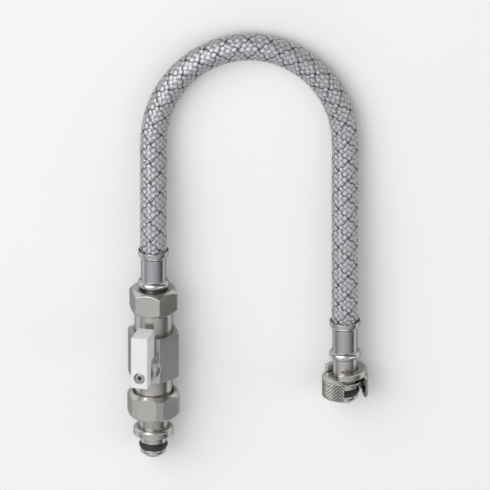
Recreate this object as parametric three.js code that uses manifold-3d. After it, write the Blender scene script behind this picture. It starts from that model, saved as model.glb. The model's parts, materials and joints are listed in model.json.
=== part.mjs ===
// Connection hose for filling and flushing heating circuits: a steel-braided rubber hose bent into an arch,
// with a small ball valve and a plug-in spigot on one end, and a plug-in tail with a slotted knurled nut and
// a slotted collar on the other. It lies flat on the floor, both ends along Y and the arch at high Y.
// Sizes are in millimetres. Levels along an end are measured from the tip of the valve end's spigot.
import * as THREE from "three";
import { mergeVertices } from "three/addons/utils/BufferGeometryUtils.js";
import Module from "manifold-3d";

const wasm = await Module();
wasm.setup();

// Overall layout
const LEG_SPACING = 105.35;
const CLEARANCE = 0.3;
const HEX_TURN = 14; // degrees from straight up to the nearest corner of every hexagon
const LEVER_TURN = -16; // degrees from straight up to the lever, which sits over a flat

// Hose
const HOSE_DIAMETER = 14.8;
const BRAID_WALL = 0.45;
const LINER_WALL = 1.6;
const HOSE_SIDES = 12;
const HOSE_STEPS = 26;

// Crimped ends
const FERRULE_WALL = 0.6;
const FERRULE_BODY_DIAMETER = 13.9;
const FERRULE_MOUTH_DIAMETER = 17;
const FERRULE_BEAD_DIAMETER = 17.4;
const FERRULE_BEAD_LENGTH = 3.7;
const FERRULE_CRIMP_LENGTH = 14.2;
const FERRULE_MOUTH_LENGTH = 4;
const TAIL_DIAMETER = 13.4;
const BARB_DIAMETER = 9.8;
const BORE_DIAMETER = 7;

// Plug, the same on both ends
const PLUG_TIP_DIAMETER = 8;
const PLUG_NOSE_DIAMETER = 14.3;
const PLUG_NOSE_LENGTH = 4.6;
const PLUG_CHAMFER_LENGTH = 2.2;
const PLUG_NECK_DIAMETER = 14.4;
const PLUG_BORE_DIAMETER = 6;
const SEAL_LENGTH = 3.9;
const SEAL_DIAMETER = 15.9;
const SEAL_GROOVE_DIAMETER = 11;

// Spigot of the valve end
const SPIGOT_FLANGE_DIAMETER = 22.2;
const SPIGOT_FLANGE_LENGTH = 4.5;
const SPIGOT_FLANGE_LEVEL = 13.1;
const SPIGOT_BODY_DIAMETER = 16.4;
const COLLAR_LENGTH = 1.7;
const GASKET_THICKNESS = 1.5;

// Threaded necks of half an inch nominal size, and the nuts on them
const NECK_DIAMETER = 20.95;
const NECK_BORE_DIAMETER = 16;
const SPIGOT_NUT_FLATS = 27;
const SPIGOT_NUT_CORNER_FLATS = 28.8;
const SPIGOT_NUT_LEVEL = 24.9;
const SPIGOT_NUT_LENGTH = 14.1;
const UNION_NUT_FLATS = 24;
const UNION_NUT_LENGTH = 13.7;
const NUT_FLOOR = 2.5;

// Valve
const BODY_FLATS = 25.4;
const BODY_LEVEL = 48.4;
const BODY_LENGTH = 26.5;
const UPPER_NECK_LENGTH = 11.9; // the part of the upper neck that shows below the union nut
const NECK_ENGAGEMENT = 6.8; // length of neck inside each nut
const STEM_LEVEL = 57.4;
const BALL_DIAMETER = 14;
const BALL_BORE_DIAMETER = 8;
const SEAT_LENGTH = 4.5;
const RETAINER_LENGTH = 10;
const RETAINER_KEY_FLATS = 9.5;
const RETAINER_KEY_DEPTH = 5;

// Stem, measured outwards from the centre of the ball
const STEM_DIAMETER = 6.8;
const STEM_SHOULDER_DIAMETER = 8;
const STEM_SHOULDER_LENGTH = 1.2;
const TANG_THICKNESS = 2;
const TANG_WIDTH = 7;
const TANG_LENGTH = 2.4;
const TANG_TIP = 5.2;
const WASHER_THICKNESS = 0.9;
const STEM_RING_SECTION = 1.2;
const STEM_RING_HEIGHT = 15;
const STEM_SQUARE = 4.6;
const STEM_SQUARE_LENGTH = 4.2;
const BOSS_DIAMETER = 14.3;
const BOSS_HEIGHT = 19.9;

// Lever
const LEVER_WIDTH = 9.4;
const LEVER_HEAD_DEPTH = 8.4;
const LEVER_TAIL = 6;
const LEVER_REACH = 24.1;
const LEVER_GRIP_DEPTH = 14.8;
const LEVER_EDGE = 0.6;
const SCREW_RECESS_DIAMETER = 6.4;
const SCREW_HEAD_DIAMETER = 5;
const SCREW_HEAD_HEIGHT = 1.7;
const SCREW_SHANK_DIAMETER = 3;
const SCREW_SHANK_LENGTH = 6.5;
const SCREW_KEY_FLATS = 2.5;
const SCREW_WEB = 1.2; // wall between the stem's socket and the screw's recess

// Free end
const FREE_TIP_LEVEL = 31.7;
const FREE_NECK_LENGTH = 3.05;
const TAIL_FLANGE_DIAMETER = 18.7;
const TAIL_FLANGE_LENGTH = 1.3;
const KNURLED_NUT_DIAMETER = 25.5;
const KNURLED_NUT_LENGTH = 11.9;
const KNURLED_NUT_TOP_DIAMETER = 21.8;
const KNURLED_NUT_EDGE = 1.2;
const KNURLED_NUT_THREAD_DIAMETER = 20.2;
const KNURLED_NUT_FLOOR = 2.5;
const KNURLED_SLOT_TURN = 32;
const SLOTTED_COLLAR_DIAMETER = 23.8;
const SLOTTED_COLLAR_THICKNESS = 3.7;
const SLOTTED_COLLAR_EDGE = 0.5;
const SLOTTED_COLLAR_JAW_RADIUS = 1.3;
const COLLAR_SLOT_TURN = -65;
const COLLAR_TRAVEL = 6.6; // how far collar and nut slide up the tail before they meet the ferrule

// Facets round a turned surface, and steps on each curve of an outline
const TURN_SEGMENTS = 28;
const SMALL_TURN_SEGMENTS = 20;
const CURVE_STEPS = 3;
const COLLAR_ARC_STEPS = 10;

// Route of the hose's centre line: across from the middle of the two ends, along from the spigot's tip, and
// up from the floor. It runs level out of both ferrules and comes down until the arch rests on the floor.
const HOSE_ROUTE = [
  [-52.675, 119.7, 14.47],
  [-52.675, 126, 14.47],
  [-52.675, 134, 14.4],
  [-52.675, 144, 13.9],
  [-52.675, 155, 12.92],
  [-52.675, 166, 11.66],
  [-52.675, 176, 10.4],
  [-52.675, 185, 9.3],
  [-50.9, 199.4, 8.1],
  [-45.64, 213.05, 7.55],
  [-37.26, 225.05, 7.5],
  [-26.34, 234.15, 7.5],
  [-13.63, 239.95, 7.5],
  [0, 241.9, 7.5],
  [13.63, 239.95, 7.5],
  [26.34, 234.15, 7.5],
  [37.26, 225.05, 7.5],
  [45.64, 213.05, 7.5],
  [50.9, 199.2, 7.6],
  [52.675, 184.5, 8],
  [52.675, 172, 8.8],
  [52.675, 158, 9.9],
  [52.675, 144, 11],
  [52.675, 130, 11.9],
  [52.675, 116, 12.5],
  [52.675, 102, 12.74],
  [52.675, 89, 12.76],
  [52.675, 76.6, 12.76],
];

// Finishes
const finish = (color, roughness, metalness) => new THREE.MeshStandardMaterial({ color, roughness, metalness });
const BRAIDED_STEEL = finish(0xb9bcc0, 0.38, 0.9);
const STAINLESS = finish(0xcfd2d4, 0.3, 0.95);
const NICKEL = finish(0xd6d3cc, 0.26, 0.95);
const BRASS = finish(0xc2a35c, 0.32, 0.95);
const LEVER_PAINT = finish(0xdddddb, 0.5, 0.1);
const BLACK_RUBBER = finish(0x1b1c1d, 0.75, 0);
const FIBRE = finish(0x3f6f68, 0.85, 0);
const WHITE_SEAT = finish(0xf0efe9, 0.5, 0);

// Levels and radii that follow from the sizes above
const radians = THREE.MathUtils.degToRad;
const neckRadius = NECK_DIAMETER / 2;
const nutBore = neckRadius + CLEARANCE;
const cavityRadius = NECK_BORE_DIAMETER / 2;
const tailRadius = TAIL_DIAMETER / 2;
const spigotNutTop = SPIGOT_NUT_LEVEL + SPIGOT_NUT_LENGTH;
const spigotCollarLevel = SPIGOT_NUT_LEVEL + NUT_FLOOR + CLEARANCE;
const spigotTop = spigotCollarLevel + COLLAR_LENGTH;
const spigotGasketLevel = spigotTop + CLEARANCE;
const neckStart = spigotGasketLevel + GASKET_THICKNESS + CLEARANCE;
const bodyTop = BODY_LEVEL + BODY_LENGTH;
const unionNutLevel = bodyTop + UPPER_NECK_LENGTH;
const neckEnd = unionNutLevel + NECK_ENGAGEMENT;
const unionGasketLevel = neckEnd + CLEARANCE;
const insertLevel = unionGasketLevel + GASKET_THICKNESS + CLEARANCE;
const unionNutTop = unionNutLevel + UNION_NUT_LENGTH;
const ferruleLevel = unionNutTop + 3 * CLEARANCE;
const ferruleLength = FERRULE_BEAD_LENGTH + FERRULE_CRIMP_LENGTH + FERRULE_MOUTH_LENGTH;
const valveEndTop = ferruleLevel + ferruleLength;
const stemRadius = STEM_DIAMETER / 2;
const stemBore = stemRadius + CLEARANCE;
const shoulderLevel = TANG_TIP + TANG_LENGTH;
const washerLevel = shoulderLevel + STEM_SHOULDER_LENGTH + CLEARANCE;
const stemPocket = STEM_SHOULDER_DIAMETER / 2 + CLEARANCE;
const stemPocketTop = washerLevel + WASHER_THICKNESS + CLEARANCE;
const seatNear = stemPocket + CLEARANCE;
const seatFar = seatNear + SEAT_LENGTH;
const leverBack = BOSS_HEIGHT + CLEARANCE;
const leverTop = leverBack + LEVER_HEAD_DEPTH;
const leverSocketTop = BOSS_HEIGHT + STEM_SQUARE_LENGTH + CLEARANCE;
const screwSeat = leverSocketTop + SCREW_WEB;
const tailFlangeLevel = FREE_TIP_LEVEL + PLUG_NOSE_LENGTH + SEAL_LENGTH + FREE_NECK_LENGTH;
const nutFloorLevel = tailFlangeLevel + TAIL_FLANGE_LENGTH + CLEARANCE;
const knurledNutTop = nutFloorLevel + KNURLED_NUT_FLOOR;
const knurledNutLevel = knurledNutTop - KNURLED_NUT_LENGTH;
const slottedCollarLevel = knurledNutTop + CLEARANCE;
const freeFerruleLevel = slottedCollarLevel + SLOTTED_COLLAR_THICKNESS + COLLAR_TRAVEL + CLEARANCE;
const slotHalfWidth = tailRadius + CLEARANCE;

// Joins and cuts
function solid(geometry) {
  geometry.deleteAttribute("normal");
  geometry.deleteAttribute("uv");
  const merged = mergeVertices(geometry, 1e-4);
  const index = merged.index.array;
  const triVerts = [];
  for (let i = 0; i < index.length; i += 3) {
    const [a, b, c] = [index[i], index[i + 1], index[i + 2]];
    if (a !== b && b !== c && c !== a) triVerts.push(a, b, c);
  }
  return new wasm.Manifold(
    new wasm.Mesh({
      numProp: 3,
      vertProperties: new Float32Array(merged.attributes.position.array),
      triVerts: new Uint32Array(triVerts),
    })
  );
}

function surface(shape) {
  const mesh = shape.getMesh();
  const geometry = new THREE.BufferGeometry();
  geometry.setAttribute("position", new THREE.BufferAttribute(mesh.vertProperties, 3));
  geometry.setIndex(new THREE.BufferAttribute(mesh.triVerts, 1));
  geometry.computeVertexNormals();
  return geometry;
}

// A body turned about Y: draw() traces its outline in radius and level, counter-clockwise
function turned(draw, segments = TURN_SEGMENTS) {
  const outline = new THREE.Shape();
  draw(outline);
  const points = outline.getPoints(CURVE_STEPS);
  if (points[0].distanceTo(points[points.length - 1]) > 1e-6) points.push(points[0].clone());
  return solid(new THREE.LatheGeometry(points, segments));
}

function rod(radius, from, to, segments = TURN_SEGMENTS) {
  return turned((o) => {
    o.moveTo(0, from);
    o.lineTo(radius, from);
    o.lineTo(radius, to);
    o.lineTo(0, to);
  }, segments);
}

function ring(inner, outer, from, to, segments = TURN_SEGMENTS) {
  return turned((o) => {
    o.moveTo(inner, from);
    o.lineTo(outer, from);
    o.lineTo(outer, to);
    o.lineTo(inner, to);
  }, segments);
}

function block(width, length, depth, x, y, z) {
  return solid(new THREE.BoxGeometry(width, length, depth).translate(x, y, z));
}

// Corners of a hexagon with one corner straight up, its corners cut back to flats where asked
function hexCorners(acrossFlats, acrossCornerFlats) {
  const half = acrossFlats / 2;
  const reach = half / Math.cos(Math.PI / 6);
  const cut = acrossCornerFlats ? acrossCornerFlats / 2 : reach;
  const aside = (cut - half * Math.cos(Math.PI / 6)) / Math.sin(Math.PI / 6);
  const radius = Math.min(reach, Math.hypot(half, aside));
  const spread = acrossCornerFlats ? Math.PI / 6 - Math.atan2(aside, half) : 0;
  const corners = [];
  for (let i = 0; i < 6; i += 1) {
    const middle = (i * Math.PI) / 3;
    const angles = spread > 0 ? [middle - spread, middle + spread] : [middle];
    for (const angle of angles) corners.push({ radius, angle });
  }
  return corners;
}

// How far a turned hexagon reaches in a direction, both in degrees from straight up
function hexReach(corners, direction) {
  const turn = radians(direction - HEX_TURN);
  return Math.max(...corners.map(({ radius, angle }) => radius * Math.cos(angle - turn)));
}

function hexBar(corners, from, to) {
  const places = corners.map(({ radius, angle }) => new THREE.Vector2(radius * Math.sin(angle), -radius * Math.cos(angle)));
  const outline = new THREE.Shape(places);
  const geometry = new THREE.ExtrudeGeometry(outline, { depth: to - from, bevelEnabled: false });
  return solid(geometry.rotateX(-Math.PI / 2).translate(0, from, 0));
}

// A hexagon whose ends are chamfered in a lathe: each end face is a circle
function chamferedHex(corners, from, to, lowRadius, topRadius, steepness) {
  const reach = corners[0].radius + 1;
  const envelope = turned((o) => {
    o.moveTo(0, from);
    o.lineTo(lowRadius, from);
    o.lineTo(reach, from + steepness * (reach - lowRadius));
    o.lineTo(reach, to - steepness * (reach - topRadius));
    o.lineTo(topRadius, to);
    o.lineTo(0, to);
  });
  return hexBar(corners, from, to).intersect(envelope);
}

function piece(name, geometry, material) {
  const mesh = new THREE.Mesh(geometry, material);
  mesh.name = name;
  return mesh;
}

// Outer outline of a plug from its tip to the top of the seal's groove, for use inside a longer outline
function plugOutline(o, tip) {
  const noseRadius = PLUG_NOSE_DIAMETER / 2;
  o.moveTo(PLUG_BORE_DIAMETER / 2, tip);
  o.lineTo(PLUG_TIP_DIAMETER / 2, tip);
  o.quadraticCurveTo(noseRadius - 0.5, tip + 0.8, noseRadius, tip + PLUG_CHAMFER_LENGTH);
  o.lineTo(noseRadius, tip + PLUG_NOSE_LENGTH);
  o.lineTo(SEAL_GROOVE_DIAMETER / 2, tip + PLUG_NOSE_LENGTH);
  o.lineTo(SEAL_GROOVE_DIAMETER / 2, tip + PLUG_NOSE_LENGTH + SEAL_LENGTH);
  o.lineTo(PLUG_NECK_DIAMETER / 2, tip + PLUG_NOSE_LENGTH + SEAL_LENGTH);
}

// Rubber seal of a plug, bulging out of its groove
function sealRing(name, tip) {
  const inner = SEAL_GROOVE_DIAMETER / 2 + CLEARANCE;
  const shoulder = PLUG_NOSE_DIAMETER / 2;
  const bulge = SEAL_DIAMETER - shoulder;
  const low = tip + PLUG_NOSE_LENGTH + CLEARANCE;
  const high = tip + PLUG_NOSE_LENGTH + SEAL_LENGTH - CLEARANCE;
  const middle = (low + high) / 2;
  const form = turned((o) => {
    o.moveTo(inner, low);
    o.lineTo(shoulder, low);
    o.quadraticCurveTo(bulge, middle, shoulder, high);
    o.lineTo(inner, high);
  });
  return piece(name, surface(form), BLACK_RUBBER);
}

// Crimped sleeve: a rolled bead below, the pressed-in body, and a flared mouth round the hose
function ferrule(name, level) {
  const beadTop = level + FERRULE_BEAD_LENGTH;
  const mouthLevel = beadTop + FERRULE_CRIMP_LENGTH;
  const top = mouthLevel + FERRULE_MOUTH_LENGTH;
  const bead = FERRULE_BEAD_DIAMETER / 2;
  const body = FERRULE_BODY_DIAMETER / 2;
  const mouth = FERRULE_MOUTH_DIAMETER / 2;
  const bodyBore = body - FERRULE_WALL;
  const mouthBore = mouth - FERRULE_WALL;
  const form = turned((o) => {
    o.moveTo(slotHalfWidth, level);
    o.lineTo(bead - 1, level);
    o.quadraticCurveTo(bead + 0.7, (level + beadTop) / 2, bead - 0.8, beadTop);
    o.lineTo(body, beadTop + 0.2);
    o.lineTo(body, mouthLevel - 0.3);
    o.quadraticCurveTo(mouth - 0.6, mouthLevel + 0.1, mouth, mouthLevel + 1.6);
    o.lineTo(mouth, top);
    o.lineTo(mouthBore, top);
    o.lineTo(mouthBore, mouthLevel);
    o.lineTo(bodyBore, mouthLevel - 0.5);
    o.lineTo(bodyBore, beadTop - 0.3);
    o.lineTo(slotHalfWidth, beadTop - 0.6);
  });
  return piece(name, surface(form), STAINLESS);
}

// Barbed stem inside the hose, from its shoulder in the bead up to the mouth of the ferrule
function barbOutline(o, level) {
  const barb = BARB_DIAMETER / 2;
  const shoulder = level + FERRULE_BEAD_LENGTH - 3 * CLEARANCE;
  const end = shoulder + FERRULE_CRIMP_LENGTH;
  const pitch = FERRULE_CRIMP_LENGTH / 4;
  o.lineTo(tailRadius, shoulder);
  o.lineTo(barb - 0.5, shoulder);
  for (let i = 0; i < 3; i += 1) {
    o.lineTo(barb, shoulder + (i + 1) * pitch - 0.4);
    o.lineTo(barb - 0.5, shoulder + (i + 1) * pitch);
  }
  o.lineTo(barb - 0.5, end);
  o.lineTo(BORE_DIAMETER / 2, end);
}

// Hose: a braided sleeve over a rubber liner, whose crimped ends lie between barb and ferrule
class Route extends THREE.Curve {
  constructor() {
    super();
    this.spline = new THREE.CatmullRomCurve3(HOSE_ROUTE.map((p) => new THREE.Vector3(...p)), false, "centripetal");
  }

  getPoint(t, target) {
    return this.spline.getPoint(t, target);
  }
}

function hoseTube(outer, inner) {
  const outline = new THREE.Shape();
  const hole = new THREE.Path();
  for (let i = 0; i < HOSE_SIDES; i += 1) {
    const angle = (i * 2 * Math.PI) / HOSE_SIDES;
    const [x, y] = [Math.cos(angle), Math.sin(angle)];
    if (i === 0) {
      outline.moveTo(outer * x, outer * y);
      hole.moveTo(inner * x, inner * y);
    } else {
      outline.lineTo(outer * x, outer * y);
      hole.lineTo(inner * x, inner * y);
    }
  }
  outline.closePath();
  hole.closePath();
  outline.holes.push(hole);
  const settings = { steps: HOSE_STEPS, bevelEnabled: false, extrudePath: new Route() };
  return new THREE.ExtrudeGeometry(outline, settings);
}

function crimpedEnd(level, x, z) {
  const from = level + FERRULE_BEAD_LENGTH + CLEARANCE;
  const to = level + FERRULE_BEAD_LENGTH + FERRULE_CRIMP_LENGTH + 1;
  const outer = FERRULE_BODY_DIAMETER / 2 - FERRULE_WALL - CLEARANCE;
  return ring(BARB_DIAMETER / 2 + CLEARANCE, outer, from, to, SMALL_TURN_SEGMENTS).translate(x, 0, z);
}

function hose() {
  const group = new THREE.Group();
  const outer = HOSE_DIAMETER / 2;
  const linerOuter = outer - BRAID_WALL - CLEARANCE;
  const linerInner = linerOuter - LINER_WALL;
  const [start, end] = [HOSE_ROUTE[0], HOSE_ROUTE[HOSE_ROUTE.length - 1]];
  const liner = solid(hoseTube(linerOuter, linerInner))
    .add(crimpedEnd(ferruleLevel, start[0], start[2]))
    .add(crimpedEnd(freeFerruleLevel, end[0], end[2]));
  group.add(piece("hose_braid", hoseTube(outer, outer - BRAID_WALL), BRAIDED_STEEL));
  group.add(piece("hose_liner", surface(liner), BLACK_RUBBER));
  return group;
}

// Valve end
function spigot() {
  const flange = SPIGOT_FLANGE_DIAMETER / 2;
  const flangeTop = SPIGOT_FLANGE_LEVEL + SPIGOT_FLANGE_LENGTH;
  const body = SPIGOT_BODY_DIAMETER / 2;
  const form = turned((o) => {
    plugOutline(o, 0);
    o.lineTo(PLUG_NECK_DIAMETER / 2, SPIGOT_FLANGE_LEVEL);
    o.lineTo(flange - 0.5, SPIGOT_FLANGE_LEVEL);
    o.lineTo(flange, SPIGOT_FLANGE_LEVEL + 0.5);
    o.lineTo(flange, flangeTop - 1.1);
    o.lineTo(flange - 1, flangeTop);
    o.lineTo(body, flangeTop);
    o.lineTo(body, spigotCollarLevel);
    o.lineTo(neckRadius - 0.5, spigotCollarLevel);
    o.lineTo(neckRadius - 0.5, spigotTop);
    o.lineTo(BALL_BORE_DIAMETER / 2, spigotTop);
    o.lineTo(BALL_BORE_DIAMETER / 2, flangeTop + 1);
    o.lineTo(PLUG_BORE_DIAMETER / 2, flangeTop);
  });
  return piece("spigot", surface(form), NICKEL);
}

function nut(name, corners, flats, floor, mouth, floorBore, steepness) {
  const [low, top] = [Math.min(floor, mouth), Math.max(floor, mouth)];
  const inward = Math.sign(mouth - floor);
  const bar = chamferedHex(corners, low, top, flats / 2 - 0.4, flats / 2 - 0.9, steepness);
  const insideFloor = floor + inward * NUT_FLOOR;
  const thread = rod(nutBore, Math.min(insideFloor, mouth + inward), Math.max(insideFloor, mouth + inward));
  const hole = rod(floorBore, Math.min(floor - inward, mouth), Math.max(floor - inward, mouth));
  return piece(name, surface(bar.subtract(thread).subtract(hole)), NICKEL);
}

function gasket(name, level) {
  const form = ring(BALL_BORE_DIAMETER / 2 + 1, neckRadius - 0.5, level, level + GASKET_THICKNESS, SMALL_TURN_SEGMENTS);
  return piece(name, surface(form), FIBRE);
}

// A solid turned about Y is stood on the stem's axis, which is Z in the valve's own frame
function onStem(form) {
  return form.rotate([90, 0, 0]).translate(0, STEM_LEVEL, 0);
}

function valveBody() {
  const corners = hexCorners(BODY_FLATS);
  const bar = chamferedHex(corners, BODY_LEVEL, bodyTop, BODY_FLATS / 2 + 1.2, BODY_FLATS / 2 + 1.2, 0.6);
  const neck = turned((o) => {
    o.moveTo(0, neckStart);
    o.lineTo(neckRadius - 0.8, neckStart);
    o.lineTo(neckRadius, neckStart + 0.8);
    o.lineTo(neckRadius, neckEnd - 0.8);
    o.lineTo(neckRadius - 0.8, neckEnd);
    o.lineTo(0, neckEnd);
  });
  const seatFloor = STEM_LEVEL - seatFar - CLEARANCE;
  const bore = rod(BALL_BORE_DIAMETER / 2, neckStart - 1, seatFloor + 1);
  const cavity = rod(cavityRadius, seatFloor, neckEnd + 1);
  const boss = onStem(rod(BOSS_DIAMETER / 2, BODY_FLATS / 4, BOSS_HEIGHT));
  const stemHole = onStem(rod(stemBore, 0, BOSS_HEIGHT + 1, SMALL_TURN_SEGMENTS));
  const pocket = onStem(rod(stemPocket, 0, stemPocketTop, SMALL_TURN_SEGMENTS));
  const outside = bar.rotate([0, HEX_TURN - LEVER_TURN, 0]).add(neck).add(boss);
  return outside.subtract(bore).subtract(cavity).subtract(stemHole).subtract(pocket);
}

// Seat ring whose face is hollowed to the ball, below the ball for side -1 and above it for side 1
function ballSeat(name, side) {
  const inner = BALL_BORE_DIAMETER / 2 + 0.2;
  const outer = cavityRadius - CLEARANCE;
  const levels = [STEM_LEVEL + side * seatNear, STEM_LEVEL + side * seatFar];
  const blank = ring(inner, outer, Math.min(...levels), Math.max(...levels), SMALL_TURN_SEGMENTS);
  const hollow = new THREE.SphereGeometry(BALL_DIAMETER / 2 + CLEARANCE, SMALL_TURN_SEGMENTS, 16);
  const form = blank.subtract(solid(hollow.translate(0, STEM_LEVEL, 0)));
  return piece(name, surface(form), WHITE_SEAT);
}

function seatRetainer() {
  const low = STEM_LEVEL + seatFar + CLEARANCE;
  const top = low + RETAINER_LENGTH;
  const key = hexBar(hexCorners(RETAINER_KEY_FLATS), top - RETAINER_KEY_DEPTH, top + 1);
  const form = ring(BALL_BORE_DIAMETER / 2, cavityRadius - CLEARANCE, low, top).subtract(key);
  return piece("seat_retainer", surface(form), BRASS);
}

function ball() {
  const sphere = solid(new THREE.SphereGeometry(BALL_DIAMETER / 2, 24, 16));
  const bore = rod(BALL_BORE_DIAMETER / 2, -BALL_DIAMETER, BALL_DIAMETER, 24);
  const slotDepth = BALL_DIAMETER / 2 - (TANG_TIP - CLEARANCE) + 1;
  const slotCentre = TANG_TIP - CLEARANCE + slotDepth / 2;
  const slot = block(BALL_DIAMETER, TANG_THICKNESS + 2 * CLEARANCE, slotDepth, 0, 0, slotCentre);
  const form = sphere.subtract(bore).subtract(slot).translate(0, STEM_LEVEL, 0);
  return piece("ball", surface(form), STAINLESS);
}

function stem() {
  const grooveHalf = STEM_RING_SECTION / 2 + CLEARANCE;
  const grooveRadius = stemRadius - STEM_RING_SECTION + 0.05;
  const shaft = onStem(
    turned((o) => {
      o.moveTo(0, shoulderLevel);
      o.lineTo(STEM_SHOULDER_DIAMETER / 2, shoulderLevel);
      o.lineTo(STEM_SHOULDER_DIAMETER / 2, shoulderLevel + STEM_SHOULDER_LENGTH);
      o.lineTo(stemRadius, shoulderLevel + STEM_SHOULDER_LENGTH);
      o.lineTo(stemRadius, STEM_RING_HEIGHT - grooveHalf);
      o.lineTo(grooveRadius, STEM_RING_HEIGHT - grooveHalf);
      o.lineTo(grooveRadius, STEM_RING_HEIGHT + grooveHalf);
      o.lineTo(stemRadius, STEM_RING_HEIGHT + grooveHalf);
      o.lineTo(stemRadius, BOSS_HEIGHT);
      o.lineTo(0, BOSS_HEIGHT);
    }, SMALL_TURN_SEGMENTS)
  );
  const tang = block(TANG_WIDTH, TANG_THICKNESS, TANG_LENGTH + 0.5, 0, STEM_LEVEL, TANG_TIP + (TANG_LENGTH + 0.5) / 2);
  const squareCentre = BOSS_HEIGHT + STEM_SQUARE_LENGTH / 2 - 0.25;
  const square = block(STEM_SQUARE, STEM_SQUARE, STEM_SQUARE_LENGTH + 0.5, 0, STEM_LEVEL, squareCentre);
  const screwEnd = screwSeat - SCREW_SHANK_LENGTH;
  const screwHole = onStem(rod(SCREW_SHANK_DIAMETER / 2 + CLEARANCE, screwEnd, screwSeat, SMALL_TURN_SEGMENTS));
  return piece("stem", surface(shaft.add(tang).add(square).subtract(screwHole)), BRASS);
}

function stemWasher() {
  const form = ring(stemBore, STEM_SHOULDER_DIAMETER / 2, washerLevel, washerLevel + WASHER_THICKNESS, SMALL_TURN_SEGMENTS);
  return piece("stem_washer", surface(onStem(form)), WHITE_SEAT);
}

function stemRing() {
  const centre = stemRadius + 0.2 - STEM_RING_SECTION / 2;
  const form = turned((o) => o.absarc(centre, STEM_RING_HEIGHT, STEM_RING_SECTION / 2, 0, 2 * Math.PI), SMALL_TURN_SEGMENTS);
  return piece("stem_o_ring", surface(onStem(form)), BLACK_RUBBER);
}

// Side view of the lever: a deep grip beyond the boss, and a shallower head over it
function lever() {
  const step = BOSS_DIAMETER / 2 + 2 * CLEARANCE;
  const edge = LEVER_EDGE;
  const outline = new THREE.Shape();
  outline.moveTo(-LEVER_TAIL + edge, leverBack + edge);
  outline.lineTo(step + edge, leverBack + edge);
  outline.lineTo(step + edge, leverTop - LEVER_GRIP_DEPTH + edge);
  outline.lineTo(LEVER_REACH - edge, leverTop - LEVER_GRIP_DEPTH + edge);
  outline.lineTo(LEVER_REACH - edge, leverTop - edge);
  outline.lineTo(-LEVER_TAIL + edge, leverTop - edge);
  outline.closePath();
  const geometry = new THREE.ExtrudeGeometry(outline, {
    depth: LEVER_WIDTH - 2 * edge,
    bevelThickness: edge,
    bevelSize: edge,
    bevelSegments: 3,
  });
  geometry.translate(0, 0, -LEVER_WIDTH / 2 + edge);
  const [across, along, out] = [new THREE.Vector3(1, 0, 0), new THREE.Vector3(0, 1, 0), new THREE.Vector3(0, 0, 1)];
  geometry.applyMatrix4(new THREE.Matrix4().makeBasis(along, out, across)).translate(0, STEM_LEVEL, 0);
  const socketSide = STEM_SQUARE + 2 * CLEARANCE;
  const socketDepth = leverSocketTop - leverBack + 1;
  const socket = block(socketSide, socketSide, socketDepth, 0, STEM_LEVEL, leverSocketTop - socketDepth / 2);
  const recess = onStem(rod(SCREW_RECESS_DIAMETER / 2, screwSeat, leverTop + 1, SMALL_TURN_SEGMENTS));
  const screwHole = onStem(rod(SCREW_SHANK_DIAMETER / 2 + CLEARANCE, leverBack, leverTop, SMALL_TURN_SEGMENTS));
  return piece("lever", surface(solid(geometry).subtract(socket).subtract(recess).subtract(screwHole)), LEVER_PAINT);
}

function leverScrew() {
  const headLevel = screwSeat + CLEARANCE;
  const headTop = headLevel + SCREW_HEAD_HEIGHT;
  const form = turned((o) => {
    o.moveTo(0, screwSeat - SCREW_SHANK_LENGTH + CLEARANCE);
    o.lineTo(SCREW_SHANK_DIAMETER / 2, screwSeat - SCREW_SHANK_LENGTH + CLEARANCE);
    o.lineTo(SCREW_SHANK_DIAMETER / 2, headLevel);
    o.lineTo(SCREW_HEAD_DIAMETER / 2, headLevel);
    o.lineTo(SCREW_HEAD_DIAMETER / 2, headTop - 0.3);
    o.lineTo(SCREW_HEAD_DIAMETER / 2 - 0.3, headTop);
    o.lineTo(0, headTop);
  }, SMALL_TURN_SEGMENTS);
  const key = hexBar(hexCorners(SCREW_KEY_FLATS), headTop - 1.1, headTop + 1);
  return piece("lever_screw", surface(onStem(form.subtract(key))), STAINLESS);
}

function hoseInsert() {
  const form = turned((o) => {
    o.moveTo(BORE_DIAMETER / 2, insertLevel);
    o.lineTo(neckRadius - 0.5, insertLevel);
    o.lineTo(neckRadius - 0.5, unionNutTop - NUT_FLOOR - CLEARANCE);
    o.lineTo(tailRadius, unionNutTop - NUT_FLOOR - CLEARANCE);
    barbOutline(o, ferruleLevel);
  });
  return piece("hose_insert", surface(form), NICKEL);
}

function valveEnd() {
  const group = new THREE.Group();
  const flats = new THREE.Group();
  flats.rotation.y = radians(HEX_TURN);
  const nutCorners = hexCorners(SPIGOT_NUT_FLATS, SPIGOT_NUT_CORNER_FLATS);
  const spigotBore = SPIGOT_BODY_DIAMETER / 2 + CLEARANCE;
  flats.add(nut("spigot_nut", nutCorners, SPIGOT_NUT_FLATS, SPIGOT_NUT_LEVEL, spigotNutTop, spigotBore, 1.2));
  const unionCorners = hexCorners(UNION_NUT_FLATS);
  flats.add(nut("union_nut", unionCorners, UNION_NUT_FLATS, unionNutTop, unionNutLevel, slotHalfWidth, 0.9));
  const works = new THREE.Group();
  works.rotation.y = radians(LEVER_TURN);
  works.add(piece("valve_body", surface(valveBody()), NICKEL));
  works.add(ballSeat("ball_seat_lower", -1), ballSeat("ball_seat_upper", 1), seatRetainer());
  works.add(ball(), stem(), stemWasher(), stemRing(), lever(), leverScrew());
  group.add(spigot(), sealRing("spigot_seal_ring", 0), gasket("spigot_gasket", spigotGasketLevel));
  group.add(flats, works);
  group.add(gasket("union_gasket", unionGasketLevel), hoseInsert(), ferrule("valve_end_ferrule", ferruleLevel));
  return group;
}

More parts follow.
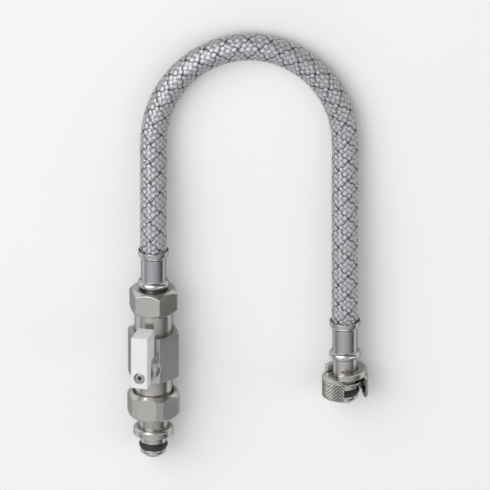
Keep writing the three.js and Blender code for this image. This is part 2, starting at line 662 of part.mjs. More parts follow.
// Free end
function freeTail() {
  const flange = TAIL_FLANGE_DIAMETER / 2;
  const form = turned((o) => {
    plugOutline(o, FREE_TIP_LEVEL);
    o.lineTo(PLUG_NECK_DIAMETER / 2, tailFlangeLevel);
    o.lineTo(flange - 0.3, tailFlangeLevel);
    o.lineTo(flange, tailFlangeLevel + 0.3);
    o.lineTo(flange, tailFlangeLevel + TAIL_FLANGE_LENGTH);
    o.lineTo(tailRadius, tailFlangeLevel + TAIL_FLANGE_LENGTH);
    barbOutline(o, freeFerruleLevel);
    o.lineTo(BORE_DIAMETER / 2, tailFlangeLevel + 1);
    o.lineTo(PLUG_BORE_DIAMETER / 2, tailFlangeLevel);
  });
  return piece("free_end_tail", surface(form), NICKEL);
}

// Union nut whose floor and wall are open on one side, so that it slips over the tail
function knurledNut() {
  const outer = KNURLED_NUT_DIAMETER / 2;
  const thread = KNURLED_NUT_THREAD_DIAMETER / 2;
  const form = turned((o) => {
    o.moveTo(thread + 0.9, knurledNutLevel);
    o.lineTo(outer - 0.6, knurledNutLevel);
    o.lineTo(outer, knurledNutLevel + 0.6);
    o.lineTo(outer, knurledNutTop - KNURLED_NUT_EDGE);
    o.lineTo(KNURLED_NUT_TOP_DIAMETER / 2, knurledNutTop);
    o.lineTo(slotHalfWidth, knurledNutTop);
    o.lineTo(slotHalfWidth, nutFloorLevel);
    o.lineTo(thread, nutFloorLevel);
    o.lineTo(thread, knurledNutLevel + 0.9);
  });
  const slotHeight = KNURLED_NUT_LENGTH + 2;
  const slotMiddle = knurledNutLevel + KNURLED_NUT_LENGTH / 2;
  const slot = block(2 * slotHalfWidth, slotHeight, outer + 1, 0, slotMiddle, (outer + 1) / 2);
  const mesh = piece("knurled_nut", surface(form.subtract(slot)), NICKEL);
  mesh.rotation.y = radians(KNURLED_SLOT_TURN);
  return mesh;
}

// Collar: a thick disc with a U-shaped slot, its jaws rounded
function slottedCollar() {
  const edge = SLOTTED_COLLAR_EDGE;
  const outer = SLOTTED_COLLAR_DIAMETER / 2 - edge;
  const inner = slotHalfWidth + edge;
  const jaw = SLOTTED_COLLAR_JAW_RADIUS;
  const jawX = Math.sqrt((outer - jaw) ** 2 - (inner + jaw) ** 2);
  const jawAngle = Math.atan2(inner + jaw, jawX);
  const outline = new THREE.Shape();
  outline.moveTo(jawX, inner);
  outline.absarc(jawX, inner + jaw, jaw, -Math.PI / 2, jawAngle, false);
  outline.absarc(0, 0, outer, jawAngle, 2 * Math.PI - jawAngle, false);
  outline.absarc(jawX, -inner - jaw, jaw, -jawAngle, Math.PI / 2, false);
  outline.lineTo(0, -inner);
  outline.absarc(0, 0, inner, 1.5 * Math.PI, 0.5 * Math.PI, true);
  outline.closePath();
  const geometry = new THREE.ExtrudeGeometry(outline, {
    depth: SLOTTED_COLLAR_THICKNESS - 2 * edge,
    bevelThickness: edge,
    bevelSize: edge,
    bevelSegments: 2,
    curveSegments: COLLAR_ARC_STEPS,
  });
  geometry.translate(0, 0, edge);
  // The outline's X, where the slot opens, is turned to Z, and its thickness to Y
  const [across, along, out] = [new THREE.Vector3(1, 0, 0), new THREE.Vector3(0, 1, 0), new THREE.Vector3(0, 0, 1)];
  geometry.applyMatrix4(new THREE.Matrix4().makeBasis(out, across, along)).translate(0, slottedCollarLevel, 0);
  const mesh = piece("slotted_collar", surface(solid(geometry)), NICKEL);
  mesh.rotation.y = radians(COLLAR_SLOT_TURN);
  return mesh;
}

function freeEnd() {
  const group = new THREE.Group();
  group.add(freeTail(), sealRing("free_end_seal_ring", FREE_TIP_LEVEL), knurledNut(), slottedCollar());
  group.add(ferrule("free_end_ferrule", freeFerruleLevel));
  return group;
}

// The two ends lie on the floor, and the origin is below the middle of the box round them
function connectionHose() {
  const spigotNutCorners = hexCorners(SPIGOT_NUT_FLATS, SPIGOT_NUT_CORNER_FLATS);
  const bodyCorners = hexCorners(BODY_FLATS);
  const valveHeight = Math.max(hexReach(spigotNutCorners, 180), hexReach(bodyCorners, 180));
  const valveSide = Math.max(hexReach(spigotNutCorners, -90), hexReach(bodyCorners, -90));
  const freeHeight = KNURLED_NUT_DIAMETER / 2;
  const freeSide = KNURLED_NUT_DIAMETER / 2;
  const middle = (valveSide - freeSide) / 2;
  const left = valveEnd();
  left.position.set(middle - LEG_SPACING / 2, -valveEndTop / 2, valveHeight);
  const right = freeEnd();
  right.position.set(middle + LEG_SPACING / 2, -valveEndTop / 2, freeHeight);
  const arch = hose();
  arch.position.set(middle, -valveEndTop / 2, 0);
  const whole = new THREE.Group();
  whole.add(left, right, arch);
  return whole;
}

export default connectionHose();
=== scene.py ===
"""Looks of a connection hose: a braided arch with a ball valve at one end and a knurled nut at the other.

Most classes below are one sub-assembly each, with their sizes in millimetres as fields. Levels are measured
along an end of the hose from the tip of the valve end's spigot, or along the stem from the ball's middle.
"""

from __future__ import annotations

import json
import logging
import math
from collections.abc import Sequence
from dataclasses import dataclass, field, replace
from enum import Enum
from functools import cache

import bmesh
import bpy
import numpy as np
from mathutils import Matrix, Vector

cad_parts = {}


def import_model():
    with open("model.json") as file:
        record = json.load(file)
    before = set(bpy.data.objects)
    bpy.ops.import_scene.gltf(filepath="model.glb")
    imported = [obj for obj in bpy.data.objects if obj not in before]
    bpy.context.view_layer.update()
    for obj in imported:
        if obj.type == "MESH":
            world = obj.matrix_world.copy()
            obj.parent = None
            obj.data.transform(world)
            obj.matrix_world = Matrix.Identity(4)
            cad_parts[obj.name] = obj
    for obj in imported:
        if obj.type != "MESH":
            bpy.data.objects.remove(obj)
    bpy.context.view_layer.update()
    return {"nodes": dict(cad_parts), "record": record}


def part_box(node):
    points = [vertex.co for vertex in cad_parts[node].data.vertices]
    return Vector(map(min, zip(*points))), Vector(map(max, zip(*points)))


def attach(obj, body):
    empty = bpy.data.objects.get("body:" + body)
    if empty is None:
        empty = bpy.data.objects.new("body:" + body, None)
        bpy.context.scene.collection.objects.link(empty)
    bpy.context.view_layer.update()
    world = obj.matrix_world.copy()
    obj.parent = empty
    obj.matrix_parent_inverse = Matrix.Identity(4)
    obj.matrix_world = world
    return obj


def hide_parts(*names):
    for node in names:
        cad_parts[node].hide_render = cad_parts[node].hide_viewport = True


LOG = logging.getLogger("connection_hose")

Span = tuple[float, float]
Place = tuple[float, float, float]
Corners = tuple[tuple[float, ...], ...]

MM = 0.001
UNIT: Span = (0.0, 1.0)
TURN_STEPS = 96
FINE_TURN_STEPS = 128
ROUNDING_STEPS = 4
ROUNDING_SHARE = 0.48  # how much of an edge one rounding may take
SPARE = 1.0  # millimetres by which cutters and hidden faces overlap what they meet
CARVING_SLIVER = 0.002  # millimetres within which the points of a cut are one
SEAM = 1e-5  # millimetres within which the points of a turned mesh are one
HEX_SEAM = 1e-4  # millimetres within which the points of a hexagonal bar are one
TUBE_SEAM = 1e-8  # metres within which the points of a tube are one
SHARP_ANGLE = 32.0  # degrees above which an edge is shaded sharp
BEVEL_ANGLE = 22.0  # degrees above which an edge is bevelled
BEVEL_SEGMENTS = 3

HEX_SIDES = 6
SECTOR = math.pi / 3  # from one corner of a hexagon to the next
HALF_SECTOR = math.pi / 6

VALVE_TURN = -16.0  # degrees from straight up to the lever
HEX_TURN = 14.0  # degrees from straight up to the nearest corner of the nuts
KNURLED_SLOT_TURN = 32.0
COLLAR_SLOT_TURN = -65.0
STEM_LEVEL = 57.4

FLOOR_COLOUR = (0.89, 0.89, 0.89, 1.0)
# Metal turns darker towards its outline: painted shade that keeps the pale floor's reflection from lighting
# its silhouette
METAL_OUTLINE_SHADE = (0.42, 0.42, 0.43, 1.0)


class Body(str, Enum):
    """The moving bodies of the frame that pieces ride on."""

    HOSE = "hose_assembly"
    HANDLE = "valve_handle"
    COLLAR = "loose_collar"
    NUT = "loose_nut"


class Slot(str, Enum):
    """The record's material slots."""

    BRAID = "braided_steel"
    RUBBER = "black_rubber"
    STAINLESS = "stainless_steel"
    NICKEL = "nickel_plated_brass"
    BRASS = "bare_brass"
    SEAT = "seat_plastic"
    FIBRE = "fibre_gasket"
    LEVER = "lever_coating"


@dataclass(frozen=True)
class Axis:
    """A line that pieces are turned about.

    Args:
        origin: the place of level zero, in metres.
        along: the unit vector in which levels rise.
        zero: the unit vector that counts as angle zero.
    """

    origin: Vector
    along: Vector
    zero: Vector

    def placing(self, turn: float = 0.0) -> Matrix:
        """The matrix that takes a mesh turned about Z, in millimetres, to its place.

        Args:
            turn: degrees by which the mesh is turned about the axis first.

        Returns:
            A matrix from millimetres about Z to metres in the frame.
        """
        side = self.along.cross(self.zero)
        basis = Matrix((self.zero, side, self.along)).transposed().to_4x4()
        turned = Matrix.Rotation(math.radians(turn), 4, "Z")
        return Matrix.Translation(self.origin) @ basis @ Matrix.Scale(MM, 4) @ turned


@dataclass
class Outline:
    """A closed outline in radius and level whose corners can be rounded."""

    corners: list[tuple[float, float, float, int]] = field(default_factory=list)

    def to(self, radius: float, level: float, rounding: float = 0.0, tag: int = 0) -> Outline:
        """Adds a corner.

        Args:
            radius: distance from the axis.
            level: place along the axis.
            rounding: how far the rounding reaches from the corner along both edges.
            tag: a mark that the corner's ring keeps when the outline is turned.

        Returns:
            The outline itself, for the next corner.
        """
        self.corners.append((radius, level, rounding, tag))
        return self

    def through(self, *corners: Sequence[float]) -> Outline:
        """Adds corners, each given as its radius, its level and, where it is rounded, its rounding.

        Args:
            *corners: the corners in order.

        Returns:
            The outline itself.
        """
        for corner in corners:
            self.to(*corner)
        return self

    def points(self) -> list[tuple[float, float, int]]:
        """The outline's points, each with its tag.

        Returns:
            The radius, the level and the tag of each point.
        """
        result: list[tuple[float, float, int]] = []
        count = len(self.corners)
        for i, (radius, level, rounding, tag) in enumerate(self.corners):
            here = Vector((radius, level))
            if rounding <= 0:
                result.append((radius, level, tag))
                continue
            before = Vector(self.corners[i - 1][:2]) - here
            after = Vector(self.corners[(i + 1) % count][:2]) - here
            reach = min(rounding, ROUNDING_SHARE * before.length, ROUNDING_SHARE * after.length)
            start = here + before.normalized() * reach
            end = here + after.normalized() * reach
            for step in range(ROUNDING_STEPS + 1):
                t = step / ROUNDING_STEPS
                point = start * (1 - t) ** 2 + here * (2 * t * (1 - t)) + end * t**2
                result.append((point.x, point.y, tag))
        return result


def turn(outline: Outline, steps: int = TURN_STEPS) -> bmesh.types.BMesh:
    """Turns an outline about Z into a closed mesh.

    Args:
        outline: the outline, counter-clockwise in radius and level.
        steps: the number of facets round the axis.

    Returns:
        The mesh in millimetres, with each vertex's tag in the int layer "ring".
    """
    bm = bmesh.new()
    ring = bm.verts.layers.int.new("ring")
    verts = []
    for radius, level, tag in outline.points():
        vert = bm.verts.new((radius, 0.0, level))
        vert[ring] = tag
        verts.append(vert)
    edges = []
    for first, second in zip(verts, verts[1:] + verts[:1]):
        if first.co.x > 0 or second.co.x > 0:
            edges.append(bm.edges.new((first, second)))
    bmesh.ops.spin(
        bm, geom=verts + edges, cent=(0, 0, 0), axis=(0, 0, 1), dvec=(0, 0, 0),
        angle=math.tau, steps=steps, use_merge=True, use_duplicate=False,
    )
    bmesh.ops.remove_doubles(bm, verts=bm.verts[:], dist=SEAM)
    bmesh.ops.recalc_face_normals(bm, faces=bm.faces[:])
    return bm


def rod(radius: float, low: float, top: float, steps: int) -> bmesh.types.BMesh:
    """A plain round bar about Z, used as a cutter."""
    return turn(Outline().through((0, low), (radius, low), (radius, top), (0, top)), steps)


def bar(width: float, length: float, depth: float, centre: Sequence[float]) -> bmesh.types.BMesh:
    """A plain rectangular bar, used as a cutter.

    Args:
        width: its size along X.
        length: its size along Y.
        depth: its size along Z.
        centre: its middle.

    Returns:
        The mesh in millimetres.
    """
    bm = bmesh.new()
    bmesh.ops.create_cube(bm, size=1.0)
    bmesh.ops.scale(bm, vec=(width, length, depth), verts=bm.verts[:])
    bmesh.ops.translate(bm, vec=centre, verts=bm.verts[:])
    return bm


def prism(corners: Sequence[tuple[float, float]], low: float, top: float) -> bmesh.types.BMesh:
    """A flat outline drawn out along Z.

    Args:
        corners: the outline's points in X and Y, counter-clockwise.
        low: the level of its lower face.
        top: the level of its upper face.

    Returns:
        The closed mesh in millimetres.
    """
    bm = bmesh.new()
    base = bm.faces.new([bm.verts.new((x, y, low)) for x, y in corners])
    drawn = bmesh.ops.extrude_face_region(bm, geom=[base])
    moved = [item for item in drawn["geom"] if isinstance(item, bmesh.types.BMVert)]
    bmesh.ops.translate(bm, vec=(0, 0, top - low), verts=moved)
    bmesh.ops.recalc_face_normals(bm, faces=bm.faces[:])
    return bm


def polygon(sides: int, across_flats: float) -> list[tuple[float, float]]:
    """The corners of a regular polygon, from its size across flats.

    Args:
        sides: the number of its sides.
        across_flats: its size between two sides.

    Returns:
        The corners in X and Y, counter-clockwise.
    """
    reach = across_flats / 2 / math.cos(math.pi / sides)
    angles = [math.tau * i / sides for i in range(sides)]
    return [(reach * math.cos(angle), reach * math.sin(angle)) for angle in angles]


def carve(target: bmesh.types.BMesh, *tools: bmesh.types.BMesh) -> bmesh.types.BMesh:
    """Cuts closed meshes out of another.

    Args:
        target: the mesh that is cut; it is freed.
        *tools: the meshes that are taken away; they are freed.

    Returns:
        The mesh that is left.
    """
    objects = []
    for bm in (target, *tools):
        mesh = bpy.data.meshes.new("carving")
        bm.to_mesh(mesh)
        bm.free()
        obj = bpy.data.objects.new("carving", mesh)
        bpy.context.scene.collection.objects.link(obj)
        objects.append(obj)
    for tool in objects[1:]:
        modifier = objects[0].modifiers.new("carve", "BOOLEAN")
        modifier.operation = "DIFFERENCE"
        modifier.solver = "EXACT"
        modifier.object = tool
    bpy.context.view_layer.update()
    evaluated = objects[0].evaluated_get(bpy.context.evaluated_depsgraph_get())
    result = bmesh.new()
    result.from_mesh(evaluated.to_mesh())
    evaluated.to_mesh_clear()
    bmesh.ops.remove_doubles(result, verts=result.verts[:], dist=CARVING_SLIVER)
    bmesh.ops.dissolve_degenerate(result, edges=result.edges[:], dist=CARVING_SLIVER)
    for obj in objects:
        mesh = obj.data
        bpy.data.objects.remove(obj)
        bpy.data.meshes.remove(mesh)
    return result


class ShaderBuilder:
    """Short ways to add and join shader nodes in a material or a group."""

    def __init__(self, tree: bpy.types.NodeTree) -> None:
        """Keeps the tree that nodes are added to."""
        self.tree = tree

    def feed(self, socket: bpy.types.NodeSocket, value: object) -> None:
        """Joins an input to another node's output, or sets it to a constant.

        Args:
            socket: the input.
            value: a socket or a constant.
        """
        if isinstance(value, bpy.types.NodeSocket):
            self.tree.links.new(value, socket)
        else:
            socket.default_value = value

    def add(
        self, kind: str, values: dict[object, object] | None = None, **settings: object
    ) -> bpy.types.Node:
        """Adds a node.

        Args:
            kind: the node's type.
            values: a socket or a constant for each input, by its name or number.
            **settings: the node's properties.

        Returns:
            The node.
        """
        node = self.tree.nodes.new(kind)
        for name, value in settings.items():
            setattr(node, name, value)
        for name, value in (values or {}).items():
            self.feed(node.inputs[name], value)
        return node

    def math(self, operation: str, *values: object) -> bpy.types.NodeSocket:
        """Adds a Math node over sockets and numbers, and gives its output."""
        return self.add("ShaderNodeMath", dict(enumerate(values)), operation=operation).outputs[0]

    def remap(
        self, value: bpy.types.NodeSocket, source: Span = UNIT, target: Span = UNIT, **settings: object
    ) -> bpy.types.NodeSocket:
        """Maps a value from one range to another and clamps it there.

        Args:
            value: the value.
            source: the two values that are mapped to the ends of the target.
            target: the range that comes out.
            **settings: the node's properties.

        Returns:
            The mapped value.
        """
        limits = dict(zip(("From Min", "From Max", "To Min", "To Max"), (*source, *target)))
        return self.add("ShaderNodeMapRange", {"Value": value, **limits}, **settings).outputs["Result"]

    def mix(self, first: object, second: object, factor: bpy.types.NodeSocket) -> bpy.types.NodeSocket:
        """Mixes two colours."""
        values = {"A": first, "B": second, "Factor": factor}
        return self.add("ShaderNodeMix", values, data_type="RGBA").outputs["Result"]

    def noise(
        self, scale: object, detail: float, place: bpy.types.NodeSocket | None = None
    ) -> bpy.types.NodeSocket:
        """Adds a Noise Texture.

        Args:
            scale: its scale, a socket or a number.
            detail: its octaves.
            place: where it is sampled, or None for the object's own coordinates.

        Returns:
            The noise from 0 to 1.
        """
        place = place or self.add("ShaderNodeTexCoord").outputs["Object"]
        values = {"Vector": place, "Scale": scale, "Detail": detail}
        return self.add("ShaderNodeTexNoise", values).outputs["Fac"]

    def bump(self, height: bpy.types.NodeSocket, strength: float, distance: float) -> bpy.types.NodeSocket:
        """Adds a Bump node and gives its normal."""
        values = {"Height": height, "Strength": strength, "Distance": distance}
        return self.add("ShaderNodeBump", values).outputs["Normal"]

    def mark(self, name: str) -> bpy.types.NodeSocket:
        """The value of a mesh's attribute."""
        return self.add("ShaderNodeAttribute", attribute_name=name).outputs["Fac"]


class Surface(ShaderBuilder):
    """A new material, with the Principled shader that its nodes lead to."""

    def __init__(self, name: str) -> None:
        """Makes the material.

        Args:
            name: the material's name.
        """
        self.material = bpy.data.materials.new(name)
        self.material.use_nodes = True
        super().__init__(self.material.node_tree)

    def finish(self, values: dict[str, object]) -> bpy.types.Material:
        """Gives the shader's inputs their sockets and constants, and hands the material over.

        Args:
            values: a socket or a constant for each of the shader's inputs, by its name.

        Returns:
            The material.
        """
        shader = self.tree.nodes["Principled BSDF"]
        for name, value in values.items():
            self.feed(shader.inputs[name], value)
        return self.material


def opaque(colour: Sequence[float], factor: float = 1.0) -> tuple[float, ...]:
    """A colour, made darker or lighter by a factor, with its alpha."""
    return (*(min(1.0, channel * factor) for channel in colour), 1.0)


def new_group(name: str, inputs: dict[str, float | None], outputs: Sequence[str]) -> ShaderBuilder:
    """Makes an empty shader node group.

    Args:
        name: the group's name.
        inputs: the usual value of each input, or None for a vector.
        outputs: the names of its value outputs.

    Returns:
        A builder for the group's nodes.
    """
    group = bpy.data.node_groups.new(name, "ShaderNodeTree")
    for label, usual in inputs.items():
        kind = "NodeSocketVector" if usual is None else "NodeSocketFloat"
        socket = group.interface.new_socket(label, in_out="INPUT", socket_type=kind)
        if usual is not None:
            socket.default_value = usual
    for label in outputs:
        group.interface.new_socket(label, in_out="OUTPUT", socket_type="NodeSocketFloat")
    return ShaderBuilder(group)


@cache
def turned_grain() -> bpy.types.NodeTree:
    """Rings that a lathe leaves round an axis along Y: Height for bump, Tone for colour and roughness.

    Returns:
        The node group.
    """
    mottle_scale, ring_share, mottle_share = 160.0, 0.4, 0.6
    build = new_group("turned_grain", {"Centre": None, "Rings per Metre": 4000.0}, ("Height", "Tone"))
    entry = build.add("NodeGroupInput").outputs
    density = entry["Rings per Metre"]
    place = build.add("ShaderNodeTexCoord").outputs["Object"]
    offset = build.add("ShaderNodeVectorMath", {0: place, 1: entry["Centre"]}, operation="SUBTRACT")
    parts = build.add("ShaderNodeSeparateXYZ", {0: offset.outputs[0]}).outputs
    across, up = (build.math("POWER", parts[name], 2.0) for name in "XZ")
    radius = build.math("SQRT", build.math("ADD", across, up))
    scaled = {"X": build.math("MULTIPLY", radius, density), "Y": build.math("MULTIPLY", parts["Y"], density)}
    ringed = build.add("ShaderNodeCombineXYZ", scaled).outputs[0]
    rings = build.noise(scale=1.0, detail=3.0, place=ringed)
    mottle = build.noise(mottle_scale, detail=4.0, place=place)
    broad = build.math("MULTIPLY", mottle, mottle_share)
    tone = build.math("ADD", build.math("MULTIPLY", rings, ring_share), broad)
    build.add("NodeGroupOutput", {"Height": rings, "Tone": tone})
    return build.tree


@cache
def speckle() -> bpy.types.NodeTree:
    """Grain of a moulded, coated or pressed surface: Height for bump, Tone for colour and roughness.

    Returns:
        The node group.
    """
    broad_scale = 90.0
    build = new_group("speckle", {"Grain per Metre": 1500.0}, ("Height", "Tone"))
    fine = build.noise(build.add("NodeGroupInput").outputs["Grain per Metre"], detail=2.0)
    build.add("NodeGroupOutput", {"Height": fine, "Tone": build.noise(broad_scale, detail=3.0)})
    return build.tree


@cache
def painted_edge_light() -> bpy.types.NodeTree:
    """Painted highlight on convex edges, broken into random patches, and painted shade in grooves: Mask is 1
    on convex edges, and Pocket in grooves.

    Returns:
        The node group.
    """
    ridge, groove = (0.52, 0.62), (0.497, 0.455)  # the pointiness at which each begins and is full
    patch_scale, least_highlight = 700.0, 0.2
    build = new_group("painted_edge_light", {}, ("Mask", "Pocket"))
    point = build.add("ShaderNodeNewGeometry").outputs["Pointiness"]
    patches = build.remap(build.noise(patch_scale, detail=2.0), target=(least_highlight, 1.0))
    highlight_mask = build.math("MULTIPLY", build.remap(point, ridge), patches)
    build.add("NodeGroupOutput", {"Mask": highlight_mask, "Pocket": build.remap(point, groove)})
    return build.tree


@dataclass(frozen=True)
class Metal:
    """A machined metal finish with lathe rings, a slight mottle, a painted highlight on convex edges and
    painted shade in grooves.

    The attribute "pressed" is the depth of the knurling, from 0 to 1, which painted shade darkens like a
    groove, and pieces without it are plain.
    """

    name: str
    colour: tuple[float, float, float]
    roughness: float
    spread: float = 0.08
    rings: float = 3500.0
    ring_depth: float = 0.000004
    ring_strength: float = 0.35
    shade: float = 0.86
    # how much brighter the painted highlight on convex edges is, as a factor on the colour
    edge_highlight: float = 1.12
    # how dark the painted shade in grooves and knurling is, as a factor on the colour
    groove_shade: float = 0.22

    def material(self, centre: Vector) -> bpy.types.Material:
        """Builds the finish for pieces turned about an axis through centre.

        Args:
            centre: a point on the leg's axis, in metres.

        Returns:
            The material.
        """
        build = Surface(self.name)
        lathe = {"Centre": centre, "Rings per Metre": self.rings}
        grain = build.add("ShaderNodeGroup", lathe, node_tree=turned_grain()).outputs
        painted_light = build.add("ShaderNodeGroup", node_tree=painted_edge_light()).outputs
        colour = build.mix(opaque(self.colour, self.shade), opaque(self.colour), grain["Tone"])
        # Painted highlight on convex edges
        colour = build.mix(colour, opaque(self.colour, self.edge_highlight), painted_light["Mask"])
        # Painted shade in grooves and in the knurling
        deep = build.math("MAXIMUM", painted_light["Pocket"], build.mark("pressed"))
        span = (self.roughness - self.spread, self.roughness + self.spread)
        return build.finish({
            "Metallic": 1.0,
            "Base Color": build.mix(colour, opaque(self.colour, self.groove_shade), deep),
            # Painted shade towards the outline
            "Specular Tint": METAL_OUTLINE_SHADE,
            "Roughness": build.remap(grain["Tone"], target=span),
            "Normal": build.bump(grain["Height"], self.ring_strength, self.ring_depth),
        })


@dataclass(frozen=True)
class Matt:
    """A moulded, coated or pressed finish with fine grain and a soft change of tone."""

    name: str
    colour: tuple[float, float, float]
    roughness: float
    grain: float = 1500.0
    depth: float = 0.00002
    strength: float = 0.4
    spread: float = 0.06
    shade: float = 0.88

    def material(self) -> bpy.types.Material:
        """Builds the finish.

        Returns:
            The material.
        """
        build = Surface(self.name)
        grain = build.add("ShaderNodeGroup", {"Grain per Metre": self.grain}, node_tree=speckle()).outputs
        span = (self.roughness - self.spread, self.roughness + self.spread)
        return build.finish({
            "Base Color": build.mix(opaque(self.colour, self.shade), opaque(self.colour), grain["Tone"]),
            "Roughness": build.remap(grain["Tone"], target=span),
            "Normal": build.bump(grain["Height"], self.strength, self.depth),
        })


@dataclass(frozen=True)
class BraidWire:
    """Flat strands of fine stainless wire, with painted shade along their edges, between their wires and
    where they dive under another.

    The attribute "across" runs from -1 to 1 over a strand's width, and further on an edge beside a wide gap,
    so that its painted shade reaches further there.
    The attribute "lift" runs from -1, under, to 1, over.
    """

    name: str = "braid_wire"
    colour: tuple[float, float, float] = (0.74, 0.745, 0.755)
    # the painted shade that strands fade to at their edges, between their wires and where they dive under
    # another
    shade_colour: tuple[float, float, float] = (0.16, 0.165, 0.17)
    roughness: float = 0.3
    spread: float = 0.08
    wires: int = 7
    wire_depth: float = 0.00012
    wire_strength: float = 0.7
    edge_shade: float = 0.8
    edge_narrowness: float = 5.0
    dive: Span = (-0.3, 0.8)  # the lift at which a strand is darkest and is fully lit
    under_shade: float = 0.25
    cloud_scale: float = 220.0
    least_tone: float = 0.8

    def material(self) -> bpy.types.Material:
        """Builds the finish.

        Returns:
            The material.
        """
        build = Surface(self.name)
        across = build.mark("across")
        phase = build.math("MULTIPLY", build.math("ADD", across, 1.0), math.pi * self.wires / 2)
        # Each wire's rounded top, which also bumps the surface, with painted shade between the wires
        rounded = build.math("POWER", build.math("ABSOLUTE", build.math("SINE", phase)), 0.5)
        cloud = build.noise(self.cloud_scale, detail=3.0)
        # Painted shade along a strand's edges
        side = build.math("POWER", build.math("ABSOLUTE", across), self.edge_narrowness)
        inner = build.math("SUBTRACT", 1.0, build.math("MULTIPLY", side, self.edge_shade))
        under = (self.under_shade, 1.0)
        # Painted shade where a strand dives under one of the other family
        lift = build.remap(build.mark("lift"), self.dive, under, interpolation_type="SMOOTHSTEP")
        lit = build.math("MULTIPLY", build.math("MAXIMUM", inner, 0.0), lift)
        tone = build.math("MULTIPLY", rounded, build.remap(cloud, target=(self.least_tone, 1.0)))
        tone = build.math("MULTIPLY", tone, lit)
        span = (self.roughness - self.spread, self.roughness + self.spread)
        return build.finish({
            "Metallic": 1.0,
            "Base Color": build.mix(opaque(self.shade_colour), opaque(self.colour), tone),
            "Roughness": build.remap(cloud, target=span),
            "Normal": build.bump(rounded, self.wire_strength, self.wire_depth),
        })


@dataclass
class Bench:
    """Puts finished meshes into the scene and hides the solids that they stand for."""

    materials: dict[tuple[Slot, str], bpy.types.Material]

    def settle(
        self,
        bm: bmesh.types.BMesh,
        name: str,
        placing: Matrix,
        body: Body,
        slot: Slot,
        nodes: Sequence[str],
        leg: str = "valve",
        bevel: float = 0.0,
    ) -> bpy.types.Object:
        """Places a mesh, dresses it and lets it ride on its body.

        Args:
            bm: the mesh in its own millimetres; it is freed.
            name: the piece's name.
            placing: the matrix to its place in metres.
            body: the body that it moves with.
            slot: the record's material slot.
            nodes: the solids that it stands for.
            leg: the end of the hose that its finish is centred on.
            bevel: the width in millimetres of a bevel on its sharp edges, or 0.

        Returns:
            The piece.
        """
        bm.transform(placing)
        mesh = bpy.data.meshes.new(name)
        bm.to_mesh(mesh)
        bm.free()
        mesh.polygons.foreach_set("use_smooth", [True] * len(mesh.polygons))
        mesh.set_sharp_from_angle(angle=math.radians(SHARP_ANGLE))
        piece = bpy.data.objects.new(name, mesh)
        bpy.context.scene.collection.objects.link(piece)
        if bevel > 0:
            edge = piece.modifiers.new("edges", "BEVEL")
            edge.width = bevel * MM
            edge.segments = BEVEL_SEGMENTS
            edge.limit_method = "ANGLE"
            edge.angle_limit = math.radians(BEVEL_ANGLE)
            edge.harden_normals = True
        else:
            shade = piece.modifiers.new("shading", "WEIGHTED_NORMAL")
            shade.keep_sharp = True
        mesh.materials.append(self.materials[slot, leg])
        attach(piece, body.value)
        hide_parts(*nodes)
        LOG.info("%s: %d faces on %s", name, len(mesh.polygons), body.value)
        return piece

    def settle_turning(
        self,
        outline: Outline,
        name: str,
        axis: Axis,
        node: str,
        leg: str,
        slot: Slot = Slot.NICKEL,
        steps: int = TURN_STEPS,
    ) -> bpy.types.Object:
        """Turns an outline into a piece of the hose's own body, and settles it.

        Args:
            outline: the piece's outline.
            name: the piece's name.
            axis: what it is turned about.
            node: the solid that it stands for.
            leg: the end of the hose that its finish is centred on.
            slot: the record's material slot.
            steps: the number of facets round the axis.

        Returns:
            The piece.
        """
        return self.settle(turn(outline, steps), name, axis.placing(), Body.HOSE, slot, [node], leg)


